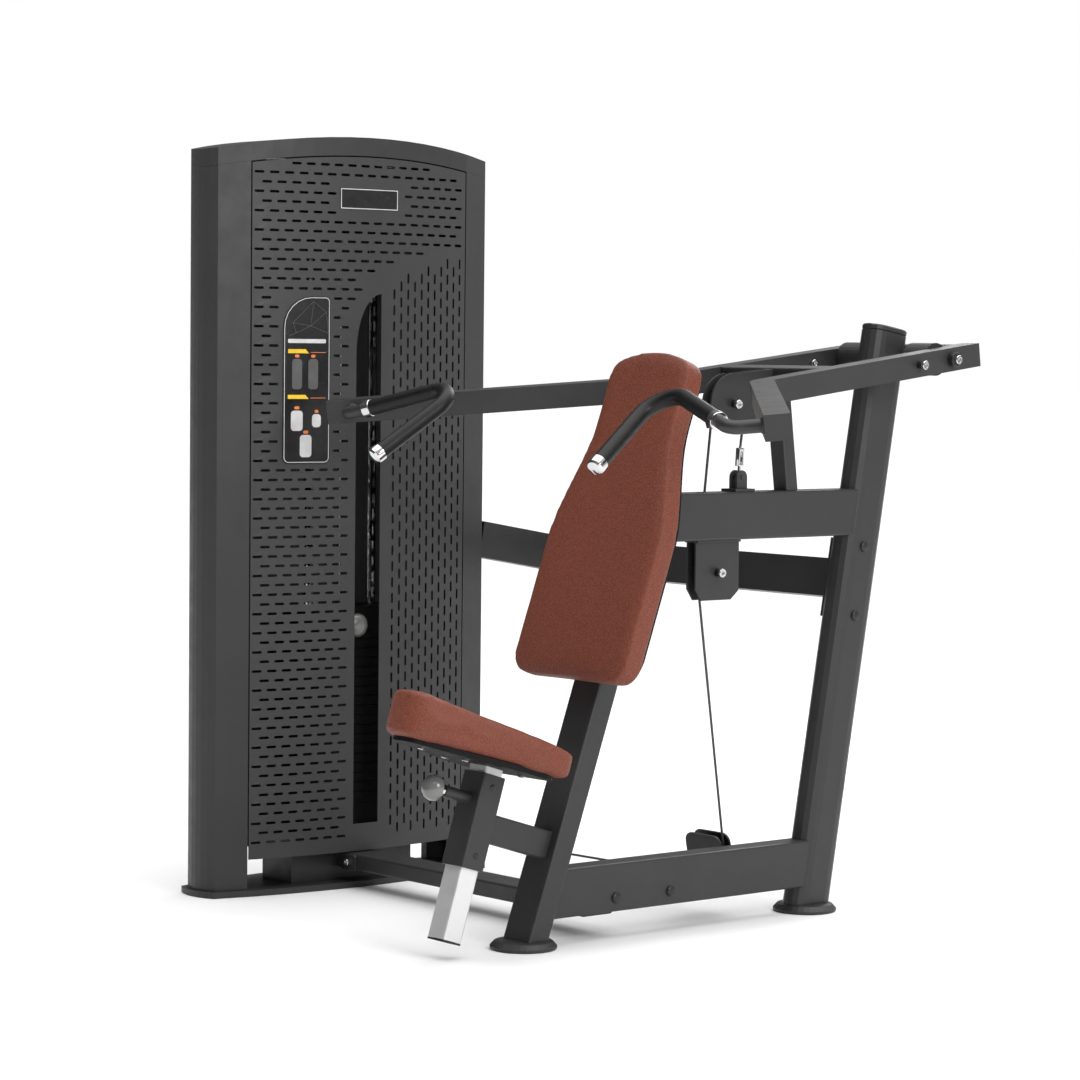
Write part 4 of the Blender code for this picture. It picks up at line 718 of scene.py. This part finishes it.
def build_placard():
    """A blank instruction placard: a printed plate with plain blocks, bars and net lines."""
    left, right, _, high = PLACARD
    start = left + PLACARD_EDGE
    end = right - PLACARD_EDGE
    on_shroud("placard_plate", [frame_loop(PLACARD, PLACARD_RADII, 0.0)], PLATE_SHEET, GAP,
              "print_plate", stands_for=("instruction_placard",))
    printed("placard_border", [frame_loop(PLACARD, PLACARD_RADII, inset)
                               for inset in PLACARD_BORDER], PRINT_WHITE)
    for index, drop in enumerate(BAR_DROPS):
        base = high - drop
        tip = start + BAR_LENGTH
        bar = [(start, base), (tip, base), (tip - BAR_SLANT, base + BAR_HEIGHT),
               (start, base + BAR_HEIGHT)]
        printed("placard_bar_%d" % index, [bar], PRINT_YELLOW)
        line = [(left + LINE_START, base + LINE_LOW), (end, base + LINE_LOW),
                (end, base + LINE_HIGH), (left + LINE_START, base + LINE_HIGH)]
        printed("placard_line_%d" % index, [line], PRINT_ORANGE)
    low_drop, high_drop = HEADING_DROPS
    heading = rounded_loop(start, end, high - low_drop, high - high_drop, [0.002] * 4)
    printed("placard_heading", [heading], PRINT_WHITE)
    for index, (along, drop, wide, tall, ink) in enumerate(BLOCKS):
        middle = left + along
        top = high - drop + tall / 2
        area = (middle - wide / 2, middle + wide / 2, high - drop - tall / 2, top)
        printed("placard_block_%d" % index, [frame_loop(area, [BLOCK_RADIUS] * 4, 0.0)], ink)
        mark = (middle - wide * MARK_SHARE, middle + wide * MARK_SHARE, top + MARK_LOW,
                top + MARK_HIGH)
        printed("placard_mark_%d" % index, [frame_loop(mark, [MARK_RADIUS] * 4, 0.0)],
                PRINT_ORANGE)
    build_net(left, high)


def build_net(left, high):
    """Thin grey lines like a net over the placard's top."""
    knots = [Vector((left + along, high - drop)) for along, drop in NET_KNOTS]
    for index, (first, second) in enumerate(NET_LINES):
        start, end = knots[first], knots[second]
        across = Vector((start.y - end.y, end.x - start.x)).normalized() * NET_HALF
        loop = [tuple(point) for point in (start - across, end - across, end + across,
                                           start + across)]
        printed("placard_net_%d" % index, [loop], PRINT_GREY)


def build_name_plate():
    """A blank name plate with a pale border."""
    corners = [0.001] * 4
    on_shroud("name_plate", [frame_loop(NAME_PLATE, corners, 0.0)], PLATE_SHEET, GAP,
              "print_plate")
    loops = [frame_loop(NAME_PLATE, [0.0012] * 4, inset) for inset in (0.0004, 0.0020)]
    on_shroud("name_plate_border", loops, INK, GAP + PLATE_SHEET, "print_plate", PRINT_WHITE)


build_shroud()
build_placard()
build_name_plate()


# ---- stack ----
PLATE_HALF_WIDE, PLATE_HALF_LONG = 0.0425, 0.125
PLATE_CORNER, PLATE_CHAMFER = 0.008, 0.0012
PLATE_SEAM = 0.0004
PLATE_HOLES = ((-0.079, 0.012), (0.079, 0.012), (0.0, 0.013))   # along, radius
STACK_PIN_START, STACK_KNOB_OUT, STACK_PIN_RADIUS = 0.0125, 0.065, 0.0048
STACK_KNOB = ((0.0, 0.0105), (0.010, 0.0105), (0.0165, 0.0085), (0.0225, 0.0035),
              (0.0240, -0.0010), (0.0225, -0.0055), (0.0150, -0.0090), (0.0095, -0.0110),
              (0.0, -0.0110))
KNOB_SOCKET = 0.006
SEAT_PIN_Z, SEAT_PIN_TIP, SEAT_PIN_END, SEAT_PIN_RADIUS = -0.0728, -0.0220, -0.0900, 0.0040
SEAT_KNOB_Y = -0.02575 - 0.081
SEAT_KNOB = ((0.0, 0.0195), (0.0090, 0.0190), (0.0150, 0.0165), (0.0205, 0.0110),
             (0.0235, 0.0020), (0.0220, -0.0060), (0.0165, -0.0105), (0.0115, -0.0130),
             (0.0085, -0.0165), (0.0075, -0.0215), (0.0, -0.0215))
SEAT_PIN_RING = ((0.0088, 0.006), (0.0096, 0.005), (0.0096, -0.005), (0.0088, -0.006),
                 (0.0078, -0.006), (0.0078, 0.006))
SEAT_RING_BACK = 0.0160


def build_plates():
    """Each group of plates as single plates with chamfered edges."""
    outer = rounded_loop(-PLATE_HALF_WIDE, PLATE_HALF_WIDE, -PLATE_HALF_LONG, PLATE_HALF_LONG,
                         [PLATE_CORNER] * 4, 3)
    holes = [arc_points((0.0, along), radius, 360, 15, 23) for along, radius in PLATE_HOLES]
    for group, letter in enumerate("cba"):
        parts = bmesh.new()
        for index in range(PLATES_PER_GROUP):
            bottom = STACK_BOTTOM + (group * PLATES_PER_GROUP + index) * PLATE_PITCH
            mesh = flat_fill("plate", [outer] + holes, bottom + PLATE_SEAM,
                             bottom + PLATE_PITCH - PLATE_SEAM)
            bevelled(mesh, PLATE_CHAMFER, 2, 50)
            parts.from_mesh(mesh)
        bmesh.ops.translate(parts, verts=parts.verts, vec=place(TOWER.x, TOWER.y, 0.0))
        add("stack_plates_" + letter, finish_mesh(parts, "plates"), "cast_plate", MACHINE,
            stands_for=("weight_plates_" + letter,))


def build_pins():
    """Both pull pins: a bright pin and a round grey knob, the seat's with a collar."""
    pin_z = STACK_BOTTOM + (3 * PLATES_PER_GROUP + 0.5) * PLATE_PITCH
    start = place(TOWER.x + STACK_PIN_START, TOWER.y, pin_z)
    knob_at = place(TOWER.x + STACK_KNOB_OUT, TOWER.y, pin_z)
    rod = tube("rod", [start, knob_at - Vector((KNOB_SOCKET, 0.0, 0.0))], STACK_PIN_RADIUS)
    add("stack_pin_rod", rod, "chrome", "stack_pin", angle=50)
    knob = add("stack_pin_knob", turned("knob", STACK_KNOB, 40), "knob_plastic", "stack_pin",
               facing(knob_at, (1.0, 0.0, 0.0)), angle=40)
    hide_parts("selector_pin")

    tip = SEAT @ Vector((0.0, SEAT_PIN_TIP, SEAT_PIN_Z))
    outer = SEAT @ Vector((0.0, SEAT_PIN_END, SEAT_PIN_Z))
    along = (outer - tip).normalized()
    add("seat_pin_rod", tube("rod", [tip, outer], SEAT_PIN_RADIUS), "chrome", "seat_pin",
        angle=50)
    centre = SEAT @ Vector((0.0, SEAT_KNOB_Y, SEAT_PIN_Z))
    knob = add("seat_pin_knob", turned("knob", SEAT_KNOB, 40), "knob_plastic", "seat_pin",
               facing(centre, along), angle=40)
    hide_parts("pop_pin")
    add("seat_pin_collar", turned("ring", SEAT_PIN_RING), "chrome", "seat_pin",
        facing(centre - along * SEAT_RING_BACK, along))


build_plates()
build_pins()


# ---- upholstery ----
BACK_LENGTH = 0.637
BACK_CROWN = 0.012
BACK_WIDE_HALF = 0.162
BACK_NARROW_HALF = 0.111
BACK_CORNER = 0.040
BACK_THICK = 0.0450
BACK_FACE = 0.048                 # from the cushion's face to the board
WAIST_LOW = 0.262
WAIST_HIGH = 0.500
SEAT_REAR, SEAT_NOSE = 0.095, -0.228
SEAT_WIDE_HALF, SEAT_NARROW_HALF = 0.140, 0.058
SEAT_CORNER = 0.030
SEAT_SIDE_START, SEAT_SIDE_IN = 0.090, 0.004
SEAT_NOSE_FLAT = 0.012
SEAT_FRONT_THICK, SEAT_THINNING = 0.080, 0.112
SEAT_SLAB = 0.0790
BOARD_GAP = 0.0015
FORM_VOXEL = 0.0055
PUFF_CAP = 0.004
PUFF_FRAMES = 20


def seat_outline(inset):
    rear = SEAT_REAR - inset
    wide = SEAT_WIDE_HALF - inset
    narrow = SEAT_NARROW_HALF - inset
    nose = SEAT_NOSE + inset
    corner = SEAT_CORNER
    points = arc_points((wide - corner, rear - corner), corner, 0, 90, 6)
    points += [(-x, y) for x, y in points[::-1]]
    side = (wide - SEAT_SIDE_IN, rear - SEAT_SIDE_START)
    points += [(-side[0], side[1])]
    radius = narrow - SEAT_NOSE_FLAT
    left = arc_points((-narrow + radius, nose + radius), radius, 192, 270, 7)
    return points + left + [(-x, y) for x, y in left[::-1]] + [side]


def back_half_width(height):
    share = min(max((height - WAIST_LOW) / (WAIST_HIGH - WAIST_LOW), 0.0), 1.0)
    share = share * share * (3 - 2 * share)
    return BACK_WIDE_HALF + (BACK_NARROW_HALF - BACK_WIDE_HALF) * share


def back_outline(inset):
    corner = BACK_CORNER
    top = BACK_LENGTH - BACK_CROWN - inset
    bottom = inset
    right = arc_points((back_half_width(0.0) - inset - corner, bottom + corner), corner, -90, 0, 6)
    for index in range(17):
        height = WAIST_LOW + (WAIST_HIGH - WAIST_LOW) * index / 16
        right.append((back_half_width(height) - inset, height))
    right += arc_points((back_half_width(top) - inset - corner, top - corner), corner, 0, 78, 6)
    reach, low = right[-1]
    for index in range(1, 8):
        x = reach * (1 - index / 8)
        right.append((x, low + (top + BACK_CROWN - low) * (1 - (x / reach) ** 2)))
    return right + [(0.0, top + BACK_CROWN)] + [(-x, z) for x, z in right[::-1]]


def pad_mesh(name, loop, low, high, roundness, seam):
    """A pad's slab: well rounded round its face and closely round the side that meets its board."""
    mesh = flat_fill(name, [loop], low, high)
    made = edited(mesh)
    for level, width in ((high, roundness), (low, seam)):
        rim = []
        for edge in made.edges:
            flat = all(abs(vert.co.z - level) < 0.0002 for vert in edge.verts)
            if flat and edge.calc_face_angle(0.0) > math.radians(50):
                rim.append(edge)
        bmesh.ops.bevel(made, geom=rim, offset=width, segments=5, affect="EDGES", profile=0.5,
                        clamp_overlap=True)
    made.to_mesh(mesh)
    made.free()
    return mesh


def puff(mesh, matrix, name):
    """Fills a pad out with cloth simulation, no point further than PUFF_CAP from its start."""
    obj = linked(name, mesh)
    remesh = obj.modifiers.new("even", "REMESH")
    remesh.mode = "VOXEL"
    remesh.voxel_size = FORM_VOXEL
    relax = obj.modifiers.new("relax", "SMOOTH")
    relax.iterations = 6
    even = evaluated(obj)
    obj.modifiers.clear()
    obj.data = even
    rest = [vert.co.copy() for vert in even.vertices]
    cloth = obj.modifiers.new("puff", "CLOTH")
    cloth.settings.use_pressure = True
    cloth.settings.uniform_pressure_force = 4.0
    cloth.settings.tension_stiffness = 40.0
    cloth.settings.compression_stiffness = 40.0
    cloth.settings.effector_weights.gravity = 0.0
    for number in range(1, PUFF_FRAMES + 1):
        bpy.context.scene.frame_set(number)
    grown = evaluated(obj)
    obj.modifiers.clear()
    for vert, before in zip(grown.vertices, rest):
        move = vert.co - before
        if move.length > PUFF_CAP:
            vert.co = before + move.normalized() * PUFF_CAP
    obj.data = grown
    bpy.context.scene.frame_set(1)
    smooth = obj.modifiers.new("relax", "SMOOTH")
    smooth.iterations = 4
    finer = obj.modifiers.new("finer", "SUBSURF")
    finer.levels = 1
    final = evaluated(obj)
    bpy.data.objects.remove(obj)
    final.transform(matrix)
    return final


def build_back_pad():
    mesh = pad_mesh("back_cushion", back_outline(0.0005), BOARD_GAP, BACK_THICK, 0.0150, 0.0020)
    turn = (Matrix.Rotation(math.radians(90), 4, "X")
            @ Matrix.Translation((0.0, 0.0, -BACK_FACE)))
    final = puff(mesh, BACK @ turn, "back_cushion_form")
    pad = add("back_cushion", final, "leather", MACHINE, angle=80, stands_for=("back_pad",))


def build_seat_pad():
    """The seat's cushion is thickest at its nose."""
    mesh = pad_mesh("seat_cushion", seat_outline(0.0010), BOARD_GAP, SEAT_SLAB, 0.0180, 0.0030)
    for vert in mesh.vertices:
        thick = SEAT_FRONT_THICK - SEAT_THINNING * (vert.co.y - SEAT_NOSE)
        vert.co.z = vert.co.z / SEAT_SLAB * thick
    final = puff(mesh, SEAT, "seat_cushion_form")
    pad = add("seat_cushion", final, "leather", "seat", angle=80, stands_for=("seat_pad",))


build_back_pad()
build_seat_pad()


# ---- handles ----
ARM_BEND = Vector((0.162, -0.5049, 0.0))
ARM_END = Vector((0.627, -0.9136, 0.0))
HANDLE_FROM_END, HANDLE_STRAIGHT = 0.050, 0.0565
GRIP_BEND = Vector((0.269, -0.8356, 0.0553))
GRIP_TIP = Vector((0.313, -1.056, -0.062))
BAR_RADIUS, BAR_FILLET = 0.0120, 0.030
GRIP_RADIUS, GRIP_FILLET, GRIP_START = 0.0150, 0.050, 0.205
CAP_LENGTH, RING_BACK = 0.024, 0.0075
END_CAP = ((0.0, 0.0225), (0.0070, 0.0222), (0.0130, 0.0200), (0.0158, 0.0165),
           (0.0165, 0.0120), (0.0165, 0.0015), (0.0155, 0.0005), (0.0, 0.0005))
GRIP_RING = ((0.0, 0.0085), (0.0158, 0.0085), (0.0166, 0.0072), (0.0166, -0.0072),
             (0.0158, -0.0085), (0.0, -0.0085))
BAR_WELD = ((0.0, 0.004), (0.0125, 0.004), (0.0150, 0.0), (0.0, 0.0))


def handle_points():
    along = (ARM_END - ARM_BEND).normalized()
    inward = Vector((along.y, -along.x, 0.0))
    root = ARM_END - along * HANDLE_FROM_END + inward * (ARM_HALF + GAP)
    return [root, root + inward * HANDLE_STRAIGHT, GRIP_BEND, GRIP_TIP]


def build_handles():
    points = handle_points()
    ring_at = points[1].lerp(points[2], GRIP_START)
    along = (points[2] - points[1]).normalized()
    tip_along = (points[3] - points[2]).normalized()
    cap_start = points[3] - tip_along * CAP_LENGTH
    bar = fillet_path([points[0], points[1], ring_at], [BAR_FILLET])
    grip = fillet_path([ring_at, points[2], cap_start], [GRIP_FILLET], 14)
    for side_name, side in (("left", 1), ("right", -1)):
        mirror = LEVER @ Matrix.Scale(side, 4, (1, 0, 0))
        turn = mirror.to_3x3()
        bar_mesh = tube("bar", [mirror @ point for point in bar], BAR_RADIUS, 24)
        core = add(side_name + "_handle_bar", bar_mesh, "frame_paint", "lever", angle=50)
        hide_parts(side_name + "_handle")
        grip_mesh = tube("grip", [mirror @ point for point in grip], GRIP_RADIUS, 28)
        sleeve = add(side_name + "_handle_grip", grip_mesh, "rubber", "lever", angle=50)
        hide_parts(side_name + "_grip")
        for kind, profile, slot, spot, way, angle in (
                ("ring", GRIP_RING, "chrome", ring_at - along * RING_BACK, along, 30),
                ("cap", END_CAP, "chrome", cap_start, tip_along, 25),
                ("weld", BAR_WELD, "frame_paint", points[0], points[1] - points[0], 60)):
            add("%s_handle_%s" % (side_name, kind), turned(kind, profile), slot, "lever",
                facing(mirror @ spot, turn @ way), angle=angle)


build_handles()


# ---- fasteners ----
ARM_ROOT_X, ARM_ROOT_Y = 0.138, 0.0816
ARM_BOLT_Y, ARM_BOLT_Z = -0.0955, 0.001
PIVOT_COLLAR_LENGTH, PIVOT_COLLAR_RADIUS = 0.0135, 0.0138
ARM_SCREW = (0.0085, 0.0070)       # head radius, head height
ARM_SPACER = (0.012, 0.0072)       # length, radius
ARM_NUT = (0.0080, 0.0080)
END_SCREW = (0.0075, 0.0050)
PULLEY_SCREW = (0.0085, 0.0065, 0.010, 0.0075)
FLANGE_SCREW = (0.007, 0.006)
LUG_SCREW = (0.0070, 0.0055)
SEAT_SCREW = (0.0070, 0.0045)
SLEEVE_PLUG = (0.0058, 0.0012)
BASE_CAPS = ((0.200, 0.076), (0.335, 0.076))           # y, z on the base beam
COLUMN_CAPS = ((0.828, 0.706), (0.806, 0.572))
COLUMN_SIDE = 0.0292
SLEEVE_SIDE = 0.0301
SLEEVE_PLUG_Z = (-0.045, -0.170)
FLANGE_X = -0.0378
FLANGE_BOLTS = ((0.804, 0.580), (0.825, 0.700))
LUG_PLACES = ((-0.742, 0.1603, 0.052), (-0.070, 0.1603, 0.052))
LUG_HALF_WIDE, LUG_HALF_TALL, LUG_CORNER, LUG_SHEET = 0.024, 0.016, 0.006, 0.004
SEAT_SCREWS = ((-0.045, 0.045), (0.045, 0.045), (-0.030, -0.075), (0.030, -0.075),
               (0.0, -0.155))
SEAT_BOARD_UNDER = -0.0102
POST_HALF_WIDE, POST_HALF_DEEP, POST_CORNER = 0.0243, 0.0213, 0.0045
POST_CAP_LOW, POST_CAP_HIGH = -0.3305, -0.3270


def arm_outer(y):
    """How far out the arm's outer face is, in front of its bend."""
    share = (ARM_ROOT_Y - y) / (ARM_ROOT_Y - ARM_BEND.y)
    return ARM_ROOT_X + (ARM_BEND.x - ARM_ROOT_X) * share + ARM_HALF


def build_lever_fasteners():
    turn = LEVER.to_3x3()
    for side_name, side in (("left", 1), ("right", -1)):
        out = turn @ Vector((side, 0.0, 0.0))
        bolt_out = arm_outer(ARM_BOLT_Y)
        start = LEVER @ Vector((side * (bolt_out + GAP), ARM_BOLT_Y, ARM_BOLT_Z))
        screw(side_name + "_arm_bolt", start, out, "lever", *ARM_SCREW, *ARM_SPACER)
        inner = LEVER @ Vector((side * (bolt_out - 2 * ARM_HALF - GAP), ARM_BOLT_Y, ARM_BOLT_Z))
        screw(side_name + "_arm_nut", inner, -out, "lever", *ARM_NUT)
        start = LEVER @ Vector((side * (arm_outer(0.0) + GAP), 0.0, 0.0))
        screw(side_name + "_pivot_bolt", start, out, "lever", *ARM_SCREW,
              PIVOT_COLLAR_LENGTH, PIVOT_COLLAR_RADIUS)
        end = LEVER @ Vector((side * 0.6015, -0.8985, 0.0))
        along = turn @ Vector((side * 0.7511, -0.6602, 0.0))
        across = turn @ Vector((side * 0.6602, 0.7511, 0.0))
        spot = end + across * (ARM_HALF - 0.0075) - along * 0.008
        screw(side_name + "_arm_end_bolt", spot, across, "lever", *END_SCREW)
    for name, side in (("lever_pulley_bolt", 1), ("lever_pulley_nut", -1)):
        spot = LEVER @ Vector((side * HOUSING_SIDE, LEVER_PULLEY_Y, LEVER_PULLEY_Z))
        screw(name, spot, turn @ Vector((side, 0, 0)), "lever", *PULLEY_SCREW)


def build_frame_fasteners():
    for tag, side in (("left", 1), ("right", -1)):
        out = (side, 0.0, 0.0)
        for kind, reach, spots in (("base", BEAM_SIDE + 0.0002, BASE_CAPS),
                                   ("column", COLUMN_SIDE, COLUMN_CAPS)):
            for index, (y, z) in enumerate(spots):
                cap_plug("%s_cap_%s_%d" % (kind, tag, index), place(side * reach, y, z), out,
                         MACHINE)
        screw("mid_pulley_bolt_" + tag, place(side * HOUSING_SIDE, MID_PULLEY_Y, MID_PULLEY_Z),
              out, MACHINE, *PULLEY_SCREW)
        for index, height in enumerate(SLEEVE_PLUG_Z):
            spot = SEAT @ Vector((side * SLEEVE_SIDE, 0.0, height))
            cap_plug("sleeve_plug_%s_%d" % (tag, index), spot, out, MACHINE, *SLEEVE_PLUG)
    for index, (y, z) in enumerate(FLANGE_BOLTS):
        screw("flange_bolt_%d" % index, place(FLANGE_X, y, z), (-1.0, 0.0, 0.0), MACHINE,
              *FLANGE_SCREW)
    outline = rounded_loop(-LUG_HALF_WIDE, LUG_HALF_WIDE, -LUG_HALF_TALL, LUG_HALF_TALL,
                           [LUG_CORNER] * 4)
    forward = Vector((0.0, -1.0, 0.0))
    for index, spot in enumerate(place(*lug) for lug in LUG_PLACES):
        plate = bevelled(flat_fill("lug", [outline], 0.0, LUG_SHEET), 0.001, 2, 50)
        add("tube_lug_%d" % index, plate, "frame_paint", MACHINE, facing(spot, forward),
            angle=50)
        screw("tube_bolt_%d" % index, spot + forward * (LUG_SHEET + 0.0002), forward, MACHINE,
              *LUG_SCREW)


def build_seat_fasteners():
    """Screws that hold the seat's pad to its board, and the cap on the post's lower end."""
    down = SEAT.to_3x3() @ Vector((0.0, 0.0, -1.0))
    for index, (x, y) in enumerate(SEAT_SCREWS):
        spot = SEAT @ Vector((x, y, SEAT_BOARD_UNDER))
        screw("seat_screw_%d" % index, spot, down, "seat", *SEAT_SCREW)
    outline = rounded_loop(-POST_HALF_WIDE, POST_HALF_WIDE, -POST_HALF_DEEP, POST_HALF_DEEP,
                           [POST_CORNER] * 4)
    plug = bevelled(flat_fill("post_cap", [outline], POST_CAP_LOW, POST_CAP_HIGH), 0.0010, 2, 50)
    add("seat_post_cap", plug, "nylon", "seat", SEAT)


build_lever_fasteners()
build_frame_fasteners()
build_seat_fasteners()


# ---- turnbuckle ----
TURNBUCKLE_ROD_RADIUS = 0.0030


def build_turnbuckle():
    """A square body with a slot on each side, between two threaded rods."""
    low, high = TURNBUCKLE_LOW, TURNBUCKLE_TOP
    outer = rounded_loop(-0.0065, 0.0065, -0.0175, 0.0175, [0.002] * 4, 3)
    slot = rounded_loop(-0.0030, 0.0030, -0.0115, 0.0115, [0.0025] * 4, 3)
    mesh = bevelled(flat_fill("body", [outer, slot[::-1]], -0.0050, 0.0050), 0.0008, 2, 50)
    up = (high - low).normalized()
    across = Vector((1.0, 0.0, 0.0))
    turn = Matrix((up.cross(across), up, across)).transposed().to_4x4()
    middle = low.lerp(high, 0.60)
    add("turnbuckle_body", mesh, "chrome", MACHINE, Matrix.Translation(middle + ORIGIN) @ turn,
        stands_for=("turnbuckle",))
    for name, start, end in (("low", low, low.lerp(high, 0.42)),
                             ("high", low.lerp(high, 0.78), high)):
        rod = tube("rod", [start + ORIGIN, end + ORIGIN], TURNBUCKLE_ROD_RADIUS, 16)
        add("turnbuckle_rod_" + name, rod, "chrome", MACHINE, angle=50)


build_turnbuckle()


# ---- cables ----
CABLE_RADIUS = 0.0025
CABLE_REACH = 0.0415              # from the lever pulley's centre to the cable's
MID_PULLEY_REACH = 0.040


def resample(path, step):
    """Points at even steps along the path."""
    result = [path[0]]
    for start, end in zip(path, path[1:]):
        count = max(1, int((end - start).length / step))
        for index in range(1, count + 1):
            result.append(start.lerp(end, index / count))
    return result


def straight_run(name, path, surface):
    """A straight run of cable."""
    mesh = tube(name, path, CABLE_RADIUS, 12)
    obj = linked(name, mesh)
    mesh.materials.append(surface)
    mesh.shade_smooth()
    return obj


def build_lever_cable():
    """Up from the mid pulley, over the lever's pulley and down to the turnbuckle."""
    turn = Matrix.Rotation(LEVER_TILT, 3, "X")
    centre = turn @ Vector((0.0, LEVER_PULLEY_Y, LEVER_PULLEY_Z)) + PIVOT
    start = Vector((0.0, MID_PULLEY_Y - MID_PULLEY_REACH, MID_PULLEY_Z))
    end = TURNBUCKLE_TOP + Vector((0.0, 0.0, GAP))

    def touch(point, side):
        offset = point - centre
        lean = side * math.acos(CABLE_REACH / offset.length)
        return (Matrix.Rotation(lean, 3, "X") @ offset).normalized()

    front, rear = touch(start, -1), touch(end, 1)
    top = Vector((0.0, 0.0, 1.0))
    over = [centre + front.slerp(top, index / 8) * CABLE_REACH for index in range(9)]
    over += [centre + top.slerp(rear, index / 8) * CABLE_REACH for index in range(1, 9)]
    start, end, over = start + ORIGIN, end + ORIGIN, [point + ORIGIN for point in over]
    add("lever_cable_over", tube("lever_cable_over", over, CABLE_RADIUS, 12), "cable_coat",
        "lever", angle=50, stands_for=("lever_cable",))
    coat = SLOT_MATERIALS["cable_coat"]
    run = straight_run("lever_cable_front", resample([start, over[0]], 0.012), coat)
    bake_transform(run)
    run = straight_run("lever_cable_rear", resample([over[-1], end], 0.008), coat)
    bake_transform(run)


def build_stack_cable():
    """The run from the head plate up to the top pulley, which grows shorter as the stack rises."""
    low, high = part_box("stack_cable")
    foot = Vector(((low.x + high.x) / 2, (low.y + high.y) / 2, low.z))
    top = Vector((foot.x, foot.y, high.z))
    run = straight_run("stack_cable_run", resample([top, foot], 0.015), STEEL_ROPE)
    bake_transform(run)
    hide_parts("stack_cable")


build_lever_cable()
build_stack_cable()


# ---- stage, light and camera ----
FLOOR_HALF, FLOOR_Z = 60.0, -0.0005
CAMERA_PLACE = (4.72370, -3.91516, 1.08831)
CAMERA_AZIMUTH, CAMERA_PITCH, CAMERA_ROLL = 50.13, 3.24, 0.60
CAMERA_LENS, CAMERA_SENSOR, CAMERA_FAR = 113.83, 36.0, 200.0
WINDOW_WAY = (0.80, 0.55, 0.25)   # the side that the studio's light comes from


def build_floor():
    mesh = bpy.data.meshes.new("floor")
    signs = ((-1, -1), (1, -1), (1, 1), (-1, 1))
    corners = [(x * FLOOR_HALF, y * FLOOR_HALF, FLOOR_Z) for x, y in signs]
    mesh.from_pydata(corners, [], [(0, 1, 2, 3)])
    floor = linked("floor", mesh)
    mesh.materials.append(Shader("floor", (0.90, 0.90, 0.90), 0.8).vary_colour(1.2, 0.006).material)


def area_light(name, position, target, size, power):
    light = bpy.data.lights.new(name, "AREA")
    light.shape = "SQUARE"
    light.size = size
    light.energy = power
    obj = linked(name, light)
    position, target = place(*position), place(*target)
    obj.location = position
    obj.rotation_mode = "QUATERNION"
    obj.rotation_quaternion = (target - position).to_track_quat("-Z", "Y")


def sky_light(strength, spread):
    """A wide light from straight above, even over the whole floor."""
    light = bpy.data.lights.new("sky", "SUN")
    light.energy = strength
    light.angle = math.radians(spread)
    obj = linked("sky", light)
    obj.location = place(0.0, 0.0, 5.0)


def build_world():
    """A pale studio: brighter above and on the window's side, and white behind the object."""
    world = bpy.data.worlds.new("studio")
    bpy.context.scene.world = world
    world.use_nodes = True
    tree = world.node_tree
    background = tree.nodes["Background"]
    where = tree.nodes.new("ShaderNodeTexCoord")
    split = tree.nodes.new("ShaderNodeSeparateXYZ")
    tree.links.new(where.outputs["Generated"], split.inputs["Vector"])
    height = map_range(tree, split.outputs["Z"], -0.1, 0.9, 0.16, 0.55)
    side = tree.nodes.new("ShaderNodeVectorMath")
    side.operation = "DOT_PRODUCT"
    side.inputs[1].default_value = WINDOW_WAY
    tree.links.new(where.outputs["Generated"], side.inputs[0])
    falloff = map_range(tree, side.outputs["Value"], -0.5, 0.7, 0.25, 1.6)
    level = tree.nodes.new("ShaderNodeMath")
    level.operation = "MULTIPLY"
    tree.links.new(height, level.inputs[0])
    tree.links.new(falloff, level.inputs[1])
    path = tree.nodes.new("ShaderNodeLightPath")
    choose = tree.nodes.new("ShaderNodeMix")
    choose.data_type = "FLOAT"
    choose.inputs["B"].default_value = 1.0
    tree.links.new(path.outputs["Is Camera Ray"], choose.inputs["Factor"])
    tree.links.new(level.outputs["Value"], choose.inputs["A"])
    tree.links.new(choose.outputs["Result"], background.inputs["Strength"])
    background.inputs["Color"].default_value = (1.0, 1.0, 1.0, 1.0)


def build_camera():
    azimuth, pitch, roll = (math.radians(angle)
                            for angle in (CAMERA_AZIMUTH, CAMERA_PITCH, CAMERA_ROLL))
    ahead = Vector((-math.sin(azimuth) * math.cos(pitch), math.cos(azimuth) * math.cos(pitch),
                    -math.sin(pitch)))
    level = Vector((math.cos(azimuth), math.sin(azimuth), 0.0))
    upward = level.cross(ahead)
    right = level * math.cos(roll) + upward * math.sin(roll)
    upward = upward * math.cos(roll) - level * math.sin(roll)
    turn = Matrix((right, upward, -ahead)).transposed().to_4x4()
    camera = bpy.data.cameras.new("camera")
    camera.sensor_width = CAMERA_SENSOR
    camera.lens = CAMERA_LENS
    camera.clip_end = CAMERA_FAR
    obj = linked("camera", camera)
    obj.matrix_world = Matrix.Translation(place(*CAMERA_PLACE)) @ turn
    bpy.context.scene.camera = obj


build_floor()
area_light("key", (4.4, 0.3, 2.6), (-0.2, 0.3, 0.7), 2.0, 95.0)
area_light("rim", (-1.5, 3.5, 2.8), (-0.2, 0.2, 0.8), 2.0, 45.0)
sky_light(2.7, 80.0)
build_world()
build_camera()
bpy.context.scene.view_settings.view_transform = "Standard"
